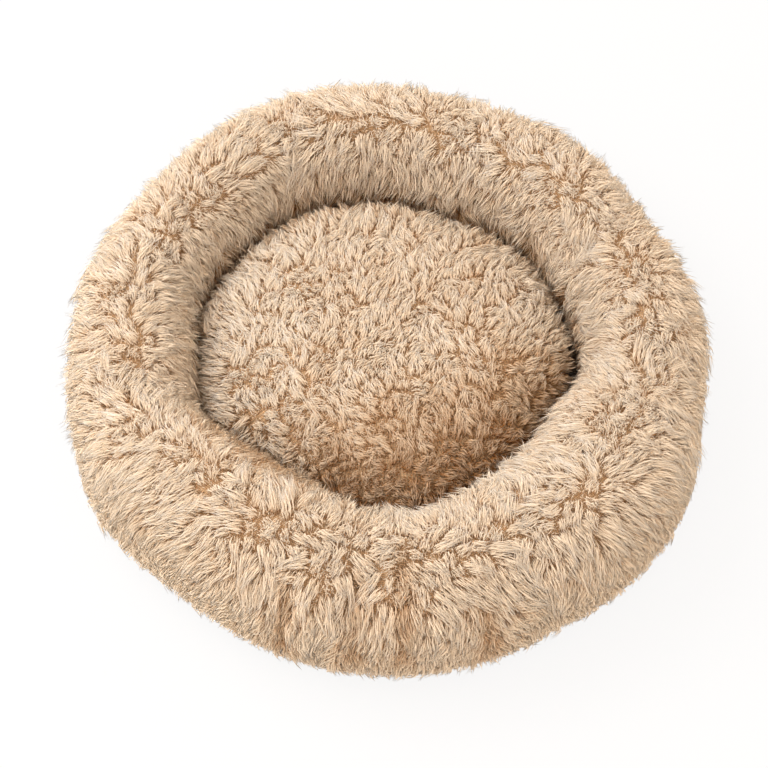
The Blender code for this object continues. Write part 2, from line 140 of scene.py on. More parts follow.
# The open gap beside the lower left lobe: the turn it lies at and how wide it is, in degrees
GAP_TURN = 228
GAP_SPREAD = 20
GAP_DEPTH = 0.008
# Creases down the front of the ring, where its cover is gathered: turns, and the angles they run between
CREASES = ((263.7, -30, 88), (272.4, -20, 92), (251.0, -30, 60), (287.0, -30, 50))
CREASE_WIDTH = math.radians(1.8)
CREASE_DEPTH = 0.0080
CASE_SLACK = 0.0034  # the case lies this far under the backing where nothing presses it in
HEM_PRESS = 0.0018  # how far the hem presses the case in

# Cloths and bindings
CASE_CLOTH = 0.0008
CASE_INSET = 0.0002
BASE_CLOTH = 0.0010
FLOOR_CLOTH = 0.0008
UNDERSIDE_HIGH = -2  # where it ends on the cushion's section, in degrees
LUMP = 0.0012  # how uneven the loose filling is
LUMP_LEVEL = 0.05  # it is even below this height
PUCKER = 0.0006  # how far the cushion's gathered underside rises
CUSHION_GATHERS = 46
GATHERS = 140
BAND_SIDES = 12
BAND_ROUNDING = 0.6  # 1 makes a band's section an oval, and less makes it squarer
BINDING_WIDTH = 0.0045
PIPING_WIDTH = 0.0040
BINDING_RIPPLE = 0.00015
PIPING_RIPPLE = 0.00012
BASE_RUCK = 0.00022
FLOOR_RUCK = 0.00018
BASE_CLEAR = 0.00005  # the base cloth's lowest face lies this far above its dots' tips
DOT_RADIUS = 0.0016
DOT_HEIGHT = 0.00045
DOT_SPACING = 0.012
DOT_MARGIN = 0.02  # the dots keep this far from the zip
THREAD_COLOUR = (0.70, 0.55, 0.40)

# Woven cloths: the colour and the weave's pitch
WEAVES = {
    "case_cloth": ((0.80, 0.78, 0.74), 0.0012),
    "cushion_underside": ((0.80, 0.78, 0.74), 0.0011),
    "binding": ((0.58, 0.42, 0.29), 0.0009),
    "base_cloth": ((0.50, 0.38, 0.28), 0.0014),
    "sleeping_floor": ((0.72, 0.60, 0.48), 0.0013),
    "zip_tape": ((0.60, 0.46, 0.34), 0.0008),
}

# Stitches: length, radius, and the distance from one to the next
CUSHION_STITCH = (0.0030, 0.00035, 0.0042)
BASE_STITCH = (0.0032, 0.00038, 0.0044)
TAPE_STITCH = (0.0026, 0.00028, 0.0034)
# Where a seam's stitches lie: out from the side of its band, and up from its lower edge
CUSHION_SEAM = (0.0001, 0.0006)
BASE_SEAM = (-0.0018, 0.0002)

# The zip
TOOTH = (0.0008, 0.0028, 0.0020)  # a tooth along, across and up
TOOTH_PITCH = 0.0017
TOOTH_SHIFT = 0.00035  # the teeth stand this far towards the zip's middle line
TAPE_STITCH_LINES = (0.0068, 0.0100)  # from the tape's inner edge
TAPE_STITCH_END = 0.006  # the stitches stop this far from the tape's ends
TAPE_STITCH_DROP = 0.0016  # they lie this far under the tape, on the base cloth
METAL_BEVEL = 0.00018

# The stage
FLOOR_REACH = 6.0
FLOOR_GAP = 0.0002
FLOOR_SHADE = 0.86
ROOM_COLOUR = (1.0, 0.87, 0.76)
WHITE = (1.0, 1.0, 1.0)
LAMP_COLOUR = (0.97, 1.0, 1.05)
LAMP_WIDTH = 1.2
LAMP_TARGET = Vector((0.0, 0.0, 0.06))
KEY_PLACE = Vector((-1.05, 0.25, 1.70))
FILL_PLACE = Vector((-0.20, -1.05, 1.65))
CAMERA_TARGET = Vector((-0.0055, -0.018, 0.0704))


def metres(label, about, default):
    return FloatProperty(name=label, description=about, default=default, unit="LENGTH")


def fraction(label, about, default):
    return FloatProperty(name=label, description=about, default=default, subtype="FACTOR")


def amount(label, about, default, unit="NONE"):
    return FloatProperty(name=label, description=about, default=default, unit=unit)


def tint(label, about, default):
    return FloatVectorProperty(name=label, description=about, default=default, size=3, subtype="COLOR")


class PileSettings(bpy.types.PropertyGroup):
    """Sizes and colours of one cover's pile."""

    hair_length: metres("Hair length", "Along the hair", 0.0215)
    hair_radius: metres("Hair radius", "Half the width of a bunch of fibres", 0.00050)
    density: amount("Density", "Hairs for each square metre", 430000.0)
    lock_spacing: metres("Lock spacing", "Least distance between locks", 0.0075)
    pull: fraction("Pull", "How far the tips of a lock draw together", 0.24)
    spread: metres("Spread", "Scatter of the tips", 0.0040)
    long_share: fraction("Long share", "The share of long hairs that lie over the rest", 0.24)
    under_share: fraction("Undercoat share", "The share of short upright hairs", 0.30)
    under_height: metres("Undercoat height", "Of the short upright hairs", 0.0070)
    tuft_spacing: metres("Tuft spacing", "Least distance between tufts of locks", 0.014)
    tuft_pull: fraction("Tuft pull", "How far the locks of a tuft draw together", 0.08)
    tuft_stray: fraction("Tuft stray", "How far a tuft strays from the comb", 0.36)
    lift: amount("Lift", "How high the tips stand, as a share of length", 0.38)
    lean: amount("Lean", "How far the hairs lie over, as a share of length", 0.74)
    # The roots' darker brown is partly painted shade deep in the pile.
    root_colour: tint("Root colour", "At the backing", (0.86, 0.61, 0.36))
    body_colour: tint("Body colour", "Along the hair", (0.98, 0.85, 0.675))
    tip_colour: tint("Tip colour", "At the tips", (0.97, 0.905, 0.81))
    seed: IntProperty(name="Seed", description="Of the scatter", default=3)


# The settings that the pile's tree takes as plain numbers
PILE_INPUTS = (
    *("density", "hair_length", "hair_radius", "lock_spacing", "pull", "spread", "long_share", "under_share"),
    *("under_height", "tuft_spacing", "tuft_pull", "tuft_stray", "lift", "lean"),
)


class StageSettings(bpy.types.PropertyGroup):
    """The camera and the lamps."""

    elevation: FloatProperty(
        name="Elevation", description="Of the camera", default=math.radians(62), subtype="ANGLE"
    )
    distance: metres("Distance", "Of the camera", 1.8)
    focal: amount("Lens", "In millimetres on a 36 mm sensor", 89.8)
    ambient: amount("Ambient", "Strength of the plain surroundings", 0.92)
    key: amount("Key", "Power of the large soft lamp", 20.0, "POWER")
    fill: amount("Fill", "Power of the fill lamp", 4.8, "POWER")


# Shapes read from the frame


def surface_of(node):
    """The node's surface, for finding where a line meets it."""
    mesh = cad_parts[node].data
    return BVHTree.FromPolygons([v.co.copy() for v in mesh.vertices], [p.vertices[:] for p in mesh.polygons])


def turns(count):
    return np.arange(count) / count * math.tau


def spoke(turn):
    """The direction out from the middle of the bed."""
    return Vector((math.cos(turn), math.sin(turn), 0.0))


def smoothed(values, rounds, around=False):
    """The table eased towards its neighbours. Its first axis goes round, and its second too if asked."""
    for _ in range(rounds):
        values = (np.roll(values, 1, axis=0) + 2 * values + np.roll(values, -1, axis=0)) / 4
        if around:
            values = (np.roll(values, 1, axis=1) + 2 * values + np.roll(values, -1, axis=1)) / 4
        elif values.ndim > 1:
            inner = (values[:, :-2] + 2 * values[:, 1:-1] + values[:, 2:]) / 4
            values = np.concatenate([values[:, :1], inner, values[:, -1:]], axis=1)
    return values


def tube_middle():
    """The middle of the stuffed tube at each place round the ring: its radius and its height."""
    cover = surface_of("bolster_cover")
    rise = UP * (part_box("bolster_cover")[1].z / 2)
    middle, height = np.zeros(RING_TURNS), np.zeros(RING_TURNS)
    for place, turn in enumerate(turns(RING_TURNS)):
        out = spoke(turn)
        far = cover.ray_cast(out * FAR + rise, -out)[0]
        near = cover.ray_cast(rise, out)[0]
        middle[place] = (far.xy.length + near.xy.length) / 2
        height[place] = cover.ray_cast(out * middle[place] + UP * FAR, -UP)[0].z / 2
    return smoothed(middle, 2), smoothed(height, 2)


class Form:
    """A soft node's side, as distances from the middle of its section, by place and by angle."""

    def points(self, inset=0.0):
        """Points this far inside the node's surface."""
        turn = self.turns[:, None]
        reach = self.reach - inset
        radius = self.middle[:, None] + reach * np.cos(self.angles)
        height = self.level[:, None] + reach * np.sin(self.angles)
        return np.stack([radius * np.cos(turn), radius * np.sin(turn), height], axis=-1)


class RingForm(Form):
    """A node of the stuffed ring."""

    def __init__(self, node, low, high, steps, around=False):
        surface = surface_of(node)
        self.turns = turns(RING_TURNS)
        self.angles = np.linspace(low, high, steps, endpoint=not around)
        self.middle, self.level = tube_middle()
        self.reach = np.zeros((RING_TURNS, steps))
        for place, turn in enumerate(self.turns):
            out = spoke(turn)
            centre = out * self.middle[place] + UP * self.level[place]
            for step, angle in enumerate(self.angles):
                away = out * math.cos(angle) + UP * math.sin(angle)
                found = surface.ray_cast(centre + away * TUBE_REACH, -away, TUBE_REACH)[0]
                self.reach[place, step] = (found - centre).length if found else 0.0
        # Where the node is open, its edge goes on, and never lower than the hem
        missed = self.reach < TUBE_LEAST
        for step in reversed(range(steps - 1)):
            self.reach[:, step] = np.where(missed[:, step], self.reach[:, step + 1], self.reach[:, step])
            if self.angles[step] < 0.0 and not around:
                most = (self.level - HEM_LEVEL) / -math.sin(self.angles[step])
                self.reach[:, step] = np.minimum(self.reach[:, step], most)
        for _ in range(steps):
            self.reach = np.where(self.reach < TUBE_LEAST, np.roll(self.reach, 1, axis=1), self.reach)
        self.reach = smoothed(self.reach, 3, around)


class CushionForm(Form):
    """A node of the cushion, from the middle of its seam."""

    def __init__(self, node, low, high, steps):
        surface = surface_of(node)
        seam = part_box("cushion_cover")[0].z
        self.turns = turns(CUSHION_TURNS)
        self.angles = np.linspace(low, high, steps)
        self.middle, self.level = np.zeros(CUSHION_TURNS), np.full(CUSHION_TURNS, seam)
        self.reach = np.zeros((CUSHION_TURNS, steps))
        for place, turn in enumerate(self.turns):
            for step, angle in enumerate(self.angles):
                across = math.cos(angle)
                away = Vector((math.cos(turn) * across, math.sin(turn) * across, math.sin(angle)))
                found = surface.ray_cast(UP * seam + away * FAR, -away)[0]
                self.reach[place, step] = (found - UP * seam).length
        self.reach = smoothed(self.reach, 2)
        for end in (0, -1):
            if abs(math.cos(self.angles[end])) < 1e-3:
                self.reach[:, end] = self.reach[:, end].mean()


def radii(node, height, places):
    """How far from the middle the node's outer side lies at this height, at each place round it."""
    surface = surface_of(node)
    found = []
    for turn in turns(places):
        out = spoke(turn)
        found.append(surface.ray_cast(out * FAR + UP * height, -out)[0].xy.length)
    return smoothed(np.array(found), 1)


# Meshes


def new_piece(name, mesh):
    piece = bpy.data.objects.new(name, mesh)
    bpy.context.scene.collection.objects.link(piece)
    return piece


def sheet_mesh(name, points, start_pole=False, end_pole=False, around=False):
    """A mesh over points by place and step, closed round its first axis, with its cloth's chart in metres.

    A pole draws its end of the second axis into one point, and around closes that axis too.
    """
    rows, columns = points.shape[:2]
    first, last = int(start_pole), columns - int(end_pole)
    width = last - first
    corners = [tuple(point) for point in points[:, first:last].reshape(-1, 3)]
    girth = np.linalg.norm(np.roll(points, -1, axis=0) - points, axis=-1).sum(axis=0).mean()
    lengths = np.linalg.norm(np.roll(points, -1, axis=1) - points, axis=-1).mean(axis=0)
    rises = np.concatenate([[0.0], np.cumsum(lengths)])
    faces, chart, poles = [], [], {}
    for wanted, column, end in ((start_pole, -1, 0), (end_pole, width, -1)):
        if wanted:
            poles[column] = len(corners)
            corners.append(tuple(points[:, end].mean(axis=0)))

    def add(*places):
        """A face by its corners' rows and columns. The poles lie one column beyond the rest."""
        faces.append([poles.get(column, row % rows * width + column % width) for row, column in places])
        chart.extend((row / rows * girth, rises[column + first]) for row, column in places)

    for row in range(rows):
        if start_pole:
            add((row, -1), (row + 1, 0), (row, 0))
        for column in range(width if around else width - 1):
            add((row, column), (row + 1, column), (row + 1, column + 1), (row, column + 1))
        if end_pole:
            add((row, width - 1), (row + 1, width - 1), (row, width))
    mesh = bpy.data.meshes.new(name)
    mesh.from_pydata(corners, [], faces)
    layer = mesh.uv_layers.new(name="cloth")
    layer.data.foreach_set("uv", np.array(chart, dtype=np.float32).ravel())
    mesh.shade_smooth()
    return mesh


def sheet(name, points, **ends):
    return new_piece(name, sheet_mesh(name, points, **ends))


def thicken(piece, cloth):
    """Gives a sheet its thickness, inwards from its face."""
    wall = piece.modifiers.new("wall", "SOLIDIFY")
    wall.thickness = cloth
    wall.offset = -1.0
    graph = bpy.context.evaluated_depsgraph_get()
    thick = bpy.data.meshes.new_from_object(piece.evaluated_get(graph), depsgraph=graph)
    piece.modifiers.remove(wall)
    thin, name = piece.data, piece.data.name
    piece.data = thick
    bpy.data.meshes.remove(thin)
    thick.name = name


def dressed(piece, body, slot, material, *nodes):
    """Gives a piece its finish and its body, and hides the nodes it stands for."""
    if material is not None:
        piece.data.materials.clear()
        piece.data.materials.append(material)
    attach(piece, body)
    if nodes:
        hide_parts(*nodes)


def wander(point, scale, seed):
    """A smooth number from about -1 to 1 that changes over this distance."""
    x, y, z = point
    return noise.noise(Vector((x / scale + seed * 7.3, y / scale - seed * 3.1, z / scale + seed * 1.7)))


def eased(value, low, high):
    """From 0 at the low value to 1 at the high one, without a corner at either."""
    share = min(1.0, max(0.0, (value - low) / (high - low)))
    return share * share * (3 - 2 * share)


def crease_at(turn, angle):
    """How near the place is to a crease, from 0 to 1, and on which side of it."""
    near, side = 0.0, 0.0
    for line, low, high in CREASES:
        away = (turn - math.radians(line) + math.pi) % math.tau - math.pi
        span = eased(angle, low - 15, low + 15) * (1.0 - eased(angle, high - 15, high + 10))
        share = math.exp(-((away / CREASE_WIDTH) ** 2)) * span
        wide = math.exp(-((away / (3 * CREASE_WIDTH)) ** 2)) * span
        near = max(near, share)
        side += math.copysign(wide, away) * (1.0 - 0.5 * share)
    return near, side


def gap_at(turn, angle):
    """How far the place lies in the open gap beside the lower left lobe, from 0 to 1."""
    away = math.degrees(turn) % 360 - GAP_TURN
    return math.exp(-((away / GAP_SPREAD) ** 2)) * eased(angle, 98, 126)


def fold_depth(turn, angle):
    """How far the creases and the gap draw the ring's backing in."""
    return CREASE_DEPTH * crease_at(turn, angle)[0] + GAP_DEPTH * gap_at(turn, angle)


def pressed_in(form):
    """How far the folds and the hem press the case and its filling in, by place and by angle."""
    depth = np.zeros(form.reach.shape)
    for place, step in np.ndindex(depth.shape):
        angle = math.degrees(form.angles[step])
        angle += 360 if angle < -90 else 0
        folds = max(0.0, fold_depth(form.turns[place], angle) - CASE_SLACK)
        hem = eased(angle, RING_LOW - 1, RING_LOW + 9) * (1.0 - eased(angle, -40, -24))
        depth[place, step] = folds + HEM_PRESS * hem
    return depth


def parted(comb, point, whorls, strength):
    """The comb, led away from the middle of each whorl that is near."""
    for x, y, reach in whorls:
        away = np.array([point[0] - x, point[1] - y, 0.0])
        distance = np.linalg.norm(away)
        if distance < reach * WHORL_LIMIT:
            weight = math.exp(-((distance / reach) ** 2)) * strength
            comb = comb + away / max(distance, 1e-4) * weight
    return comb


def store_fields(mesh, combs, **fields):
    """Keeps values for each corner of the mesh, for the pile to read. What isn't given is 1."""
    mesh.attributes.new("comb", "FLOAT_VECTOR", "POINT").data.foreach_set("vector", np.float32(combs).ravel())
    for name in ("stretch", "tone", "rise", "cover", "unrest"):
        values = fields.get(name, np.ones(len(combs)))
        mesh.attributes.new(name, "FLOAT", "POINT").data.foreach_set("value", np.float32(values))


def comb_ring(form, mesh, points):
    """Which way the ring's hairs lie: down outside, into the seam inside, and every way on the crest."""
    down = np.zeros_like(points)
    down[:, 1:-1] = points[:, :-2] - points[:, 2:]
    down[:, 0] = points[:, 0] - points[:, 1]
    down[:, -1] = points[:, -2] - points[:, -1]
    around = np.roll(points, -1, axis=0) - np.roll(points, 1, axis=0)
    down /= np.linalg.norm(down, axis=-1, keepdims=True)
    around /= np.linalg.norm(around, axis=-1, keepdims=True)
    combs = np.zeros_like(points.reshape(-1, 3))
    stretch, tone, rise, cover, unrest = np.ones((5, len(combs)))
    for index, point in enumerate(points.reshape(-1, 3)):
        place, step = divmod(index, points.shape[1])
        turn, angle = form.turns[place], math.degrees(form.angles[step])
        # The parts of the section: the hem, the outer wall, the crest, the inner wall and the seam
        hem = 1.0 - eased(angle, RING_LOW, -25)
        outer = 1.0 - eased(angle, 40, 85)
        over = eased(angle, 50, 135)
        crest = math.exp(-(((angle - 92) / 38) ** 2))
        inner = eased(angle, 105, 150)
        lower = eased(angle, 165, 205)
        under = eased(angle, 188, 228)
        gap = gap_at(turn, angle)
        near, side = crease_at(turn, angle)

        sway = wander(point, 0.085, 1.0) * (0.7 + 0.5 * crest)
        sway += wander(point, 0.034, 2.0) * (0.6 + 0.5 * crest)
        comb = (1.0 - 2.0 * over) * down[place, step] + (sway + 0.7 * side) * around[place, step]
        if point[2] > WHORL_LEVEL:
            comb = parted(comb, point, WHORLS, 0.7)
        combs[index] = comb / max(np.linalg.norm(comb), 1.0)
        stretch[index] = 1.1 + 0.16 * wander(point, 0.05, 3.0) + 0.20 * lower + 0.35 * outer - 0.60 * hem
        stretch[index] += 0.22 * eased(angle, 118, 160) - 1.1 * under
        stretch[index] -= 0.30 * gap
        # The tone is random patches, plus painted light that makes the crest a little lighter.
        tone[index] = 0.12 * wander(point, 0.11, 4.0) + 0.20 * wander(point, 0.030, 14.0) + 0.10 * crest
        # Painted shade: the hairs are darker down the inner wall, in the seam, in the open gap and in the
        # creases.
        tone[index] -= 0.25 * eased(angle, 112, 168)
        tone[index] -= 0.9 * max(eased(angle, 160, 192), gap)
        tone[index] -= 0.80 * near
        rise[index] = 1.0 - 0.40 * (1.0 - eased(angle, 10, 70)) + 0.15 * inner
        cover[index] = 0.88 + 0.40 * crest
        unrest[index] = 0.55 + 1.3 * crest + 0.7 * inner
    combs = smoothed(combs.reshape(points.shape), 3).reshape(-1, 3)
    store_fields(mesh, combs, stretch=stretch, tone=tone, rise=rise, cover=cover, unrest=unrest)


def comb_cushion(mesh):
    """Which way the cushion's hairs lie: every way, in patches."""
    combs = np.zeros((len(mesh.vertices), 3))
    stretch, tone = np.ones((2, len(combs)))
    for index, vertex in enumerate(mesh.vertices):
        point = np.array(vertex.co)
        radius = math.hypot(point[0], point[1])
        out = math.atan2(point[1], point[0])
        rim = eased(radius, 0.11, 0.165)
        turn = 2.6 * wander(point, 0.07, 5.0) + 2.2 * wander(point, 0.025, 6.0) + 1.2
        comb = np.array([math.cos(turn), math.sin(turn), 0.0]) * (1 - 0.6 * rim)
        comb += np.array([math.cos(out), math.sin(out), -0.6]) * rim * 1.1
        comb = parted(comb, point, CUSHION_WHORLS, 0.6)
        combs[index] = comb / max(np.linalg.norm(comb), 1.0)
        stretch[index] = 1.0 + 0.18 * wander(point, 0.04, 7.0) + 0.35 * rim
        # Painted shade: the hairs are darker towards the front right, and at the rim by the seam.
        painted_shade = eased(point[0] * 0.45 - point[1], 0.01, 0.15)
        # Painted light: the hairs are paler on the left.
        pale = (1.0 - eased(point[0], -0.13, 0.0)) * eased(point[1] - 0.5 * point[0], -0.02, 0.06)
        blotch = 0.16 * wander(point, 0.09, 8.0) + 0.32 * wander(point, 0.026, 15.0)
        tone[index] = -0.12 + blotch - 1.0 * painted_shade + 0.40 * pale - 0.9 * eased(radius, 0.150, 0.180)
    store_fields(mesh, combs, stretch=stretch, tone=tone)


# Node trees


class Value:
    """What a socket of a node tree gives. It adds and multiplies as a number or a vector does."""

    def __init__(self, tree, socket):
        self.tree = tree
        self.socket = socket
        self.is_vector = socket.type == "VECTOR"

    def __add__(self, other):
        return self.tree.sum("ADD", self, other)

    def __sub__(self, other):
        return self.tree.sum("SUBTRACT", self, other)

    def __rsub__(self, other):
        return self.tree.sum("SUBTRACT", other, self)

    def __mul__(self, other):
        return self.tree.sum("SCALE" if self.is_vector else "MULTIPLY", self, other)

    def __truediv__(self, other):
        return self.tree.sum("DIVIDE", self, other)

    def line(self, slope, start):
        """The value times the slope, plus the start."""
        return self.tree.sum("MULTIPLY_ADD", self, slope, start)


class Tree:
    """A node tree that is built by calls, which take and give values."""

    def __init__(self, tree):
        self.nodes = tree.nodes
        self.links = tree.links

    def put(self, socket, value):
        if isinstance(value, Value):
            self.links.new(value.socket, socket)
        elif socket.type == "RGBA":
            socket.default_value = (*value, 1.0)
        else:
            socket.default_value = value

    def fill(self, sockets, *values):
        """Puts the values into the sockets in turn."""
        for socket, value in zip(sockets, values):
            self.put(socket, value)

    def node(self, kind, outlet=0, settings=(), **inputs):
        """A node with its settings and inputs by name. It gives its numbered or named outlets."""
        made = self.nodes.new(kind)
        for name, value in dict(settings).items():
            setattr(made, name, value)
        for name, value in inputs.items():
            plain = name.replace("_", " ")
            self.put(next(s for s in made.inputs if s.enabled and s.name == plain), value)
        outlets = [s for s in made.outputs if s.enabled]
        if isinstance(outlet, int):
            return Value(self, outlets[outlet])
        return [Value(self, next(s for s in outlets if s.name == name)) for name in outlet]

    def sum(self, operation, *values):
        """An operation on numbers, or on vectors if one of the values is a vector."""
        vector = any(isinstance(v, tuple) or (isinstance(v, Value) and v.is_vector) for v in values)
        made = self.nodes.new("ShaderNodeVectorMath" if vector else "ShaderNodeMath")
        made.operation = operation
        self.fill((made.inputs[0], made.inputs["Scale"]) if operation == "SCALE" else made.inputs, *values)
        return Value(self, next(s for s in made.outputs if s.enabled))

    def split(self, vector):
        return self.node("ShaderNodeSeparateXYZ", ("X", "Y", "Z"), Vector=vector)


class GrowthTree(Tree):
    """A geometry node tree, with the sockets for the carrier and for what grows on it."""

    def __init__(self, name):
        self.group = bpy.data.node_groups.new(name, "GeometryNodeTree")
        super().__init__(self.group)
        self.inlet = self.nodes.new("NodeGroupInput")
        self.carrier = self.add_socket("geometry", "Geometry")
        self.group.interface.new_socket("Geometry", in_out="OUTPUT", socket_type="NodeSocketGeometry")

    def add_socket(self, name, kind="Float"):
        label = name.replace("_", " ").capitalize()
        self.group.interface.new_socket(label, in_out="INPUT", socket_type="NodeSocket" + kind)
        return Value(self, self.inlet.outputs[label])

    def chance(self, low, high, seed):
        """A random number for each element, or a vector if the limits are vectors."""
        kind = "FLOAT_VECTOR" if isinstance(low, tuple) else "FLOAT"
        return self.node("FunctionNodeRandomValue", 0, {"data_type": kind}, Min=low, Max=high, Seed=seed)

    def scatter(self, reach, seed):
        return self.chance((-reach,) * 3, (reach,) * 3, seed)

    def place(self):
        return self.node("GeometryNodeInputPosition")

    def vector(self, name):
        return self.node("GeometryNodeInputNamedAttribute", 0, {"data_type": "FLOAT_VECTOR"}, Name=name)

    def number(self, name):
        return self.node("GeometryNodeInputNamedAttribute", 0, {"data_type": "FLOAT"}, Name=name)

    def stored(self, geometry, kind=None, domain="POINT", **fields):
        """The geometry with these fields kept on it by name."""
        for name, value in fields.items():
            own = "FLOAT_VECTOR" if value.is_vector else "FLOAT"
            settings = {"data_type": kind or own, "domain": domain}
            geometry = self.node(
                "GeometryNodeStoreNamedAttribute", 0, settings, Geometry=geometry, Name=name, Value=value
            )
        return geometry

    def sampled(self, geometry, value, index):
        """What the value is at this element of the geometry."""
        kind = {"data_type": "FLOAT_VECTOR" if value.is_vector else "FLOAT"}
        return self.node("GeometryNodeSampleIndex", 0, kind, Geometry=geometry, Value=value, Index=index)

    def strewn(self, seed, **inputs):
        """Points scattered over the carrier, and the carrier's normals there."""
        method = {"distribute_method": "POISSON" if "Distance_Min" in inputs else "RANDOM"}
        kind = "GeometryNodeDistributePointsOnFaces"
        return self.node(kind, ("Points", "Normal"), method, Mesh=self.carrier, Seed=seed, **inputs)

    def moved(self, geometry, **inputs):
        return self.node("GeometryNodeSetPosition", Geometry=geometry, **inputs)

    def without(self, geometry, selection):
        return self.node("GeometryNodeDeleteGeometry", Geometry=geometry, Selection=selection)

    def copies(self, points, template, **inputs):
        """Real copies of the template object on the points."""
        (shape,) = self.node("GeometryNodeObjectInfo", ("Geometry",), Object=template)
        made = self.node("GeometryNodeInstanceOnPoints", Points=points, Instance=shape, **inputs)
        return self.node("GeometryNodeRealizeInstances", Geometry=made)

    def finish(self, geometry, material, *unwanted):
        """Ends the tree with this material, without the fields that only the tree needed."""
        for pattern in unwanted:
            wild = {"pattern_mode": "WILDCARD"}
            geometry = self.node("GeometryNodeRemoveAttribute", 0, wild, Geometry=geometry, Name=pattern)
        geometry = self.node("GeometryNodeSetMaterial", Geometry=geometry, Material=material)
        self.put(self.nodes.new("NodeGroupOutput").inputs[0], geometry)
        return self.group


def spindle(name, rings, sides, start, end):
    """A closed turned shape along +Z. Each ring has a height and a radius, and both ends are points."""
    corners = [(0.0, 0.0, start)]
    for height, radius in rings:
        for side in range(sides):
            angle = math.tau * side / sides
            corners.append((radius * math.cos(angle), radius * math.sin(angle), height))
    corners.append((0.0, 0.0, end))
    tip = len(corners) - 1
    faces = []
    for side in range(sides):
        after = (side + 1) % sides
        faces.append((0, 1 + after, 1 + side))
        for ring in range(len(rings) - 1):
            low, high = 1 + ring * sides, 1 + (ring + 1) * sides
            faces.append((low + side, low + after, high + after, high + side))
        faces.append((tip - sides + side, tip - sides + after, tip))
    mesh = bpy.data.meshes.new(name)
    mesh.from_pydata(corners, [], faces)
    mesh.shade_smooth()
    return new_piece(name, mesh)


def from_bmesh(name, shape):
    """A mesh of the shape, which is freed."""
    mesh = bpy.data.meshes.new(name)
    shape.to_mesh(mesh)
    shape.free()
    return mesh


def hair_template():
    """One bunch of fibres, one unit long and wide."""
    return spindle("hair_template", ((HAIR_WIDEST, 1.0),), 3, 0.0, 1.0)


def stitch_template(length, radius):
    """One stitch of thread."""
    rings = ((-0.3 * length, radius), (0.3 * length, radius))
    return spindle("stitch_template", rings, 5, -length / 2, length / 2)


def tooth_template():
    """One tooth of the zip: a bead across the row."""
    long, wide, tall = TOOTH
    shape = bmesh.new()
    bmesh.ops.create_cube(shape, size=1.0)
    for corner in shape.verts:
        corner.co = Vector((corner.co.x * tall, corner.co.y * wide, corner.co.z * long))
    bmesh.ops.bevel(shape, geom=shape.edges[:], offset=min(TOOTH) * 0.28, segments=1, affect="EDGES")
    return new_piece("tooth_template", from_bmesh("tooth_template", shape))


def dot_template(radius, height):
    """One non-slip dot: a low dome whose face points down, closed against the cloth."""
    return spindle("dot_template", ((0.0, radius), (-0.55 * height, radius * 0.8)), 8, 0.0002, -height)


def row_tree():
    """One shape again and again along curves, such as stitches or teeth, its +Z along the curve."""
    tree = GrowthTree("row")
    shape = tree.add_socket("shape", "Object")
    pitch = tree.add_socket("pitch")
    finish = tree.add_socket("finish", "Material")
    outlets, mode = ("Points", "Rotation"), {"mode": "LENGTH"}
    points, rotation = tree.node("GeometryNodeCurveToPoints", outlets, mode, Curve=tree.carrier, Length=pitch)
    return tree.finish(tree.copies(points, shape, Rotation=rotation), finish)


def dots_tree():
    """Dots in offset rows over the underside of a cloth, clear of the zip."""
    tree = GrowthTree("dots")
    shape = tree.add_socket("shape", "Object")
    reach, spacing, clear_x, clear_y = map(tree.add_socket, ("reach", "spacing", "clear_x", "clear_y"))
    finish = tree.add_socket("finish", "Material")
    width = reach * 2.0
    count = tree.sum("ROUND", width / spacing)
    grid = tree.node("GeometryNodeMeshGrid", Size_X=width, Size_Y=width, Vertices_X=count, Vertices_Y=count)
    points = tree.node("GeometryNodeMeshToPoints", Mesh=grid)
    x, y, _ = tree.split(tree.place())
    odd = tree.sum("MODULO", tree.sum("ABSOLUTE", tree.sum("ROUND", y / spacing)), 2.0)
    points = tree.moved(points, Offset=tree.node("ShaderNodeCombineXYZ", X=odd * (spacing * 0.5)))
    spot, hit = tree.node(
        "GeometryNodeRaycast",
        ("Hit Position", "Is Hit"),
        Target_Geometry=tree.carrier,
        Source_Position=tree.place() - (0.0, 0.0, 0.01),
        Ray_Direction=(0.0, 0.0, 1.0),
        Ray_Length=0.03,
    )
    points = tree.stored(points, hit=spot, missed=1.0 - hit)
    points = tree.without(points, tree.sum("GREATER_THAN", tree.number("missed"), 0.5))
    points = tree.moved(points, Position=tree.vector("hit"))
    clear = tree.sum("GREATER_THAN", tree.sum("ABSOLUTE", x), clear_x)
    clear += tree.sum("GREATER_THAN", tree.sum("ABSOLUTE", y), clear_y)
    points = tree.without(points, tree.sum("LESS_THAN", clear, 0.5))
    return tree.finish(tree.copies(points, shape), finish, "hit", "missed")


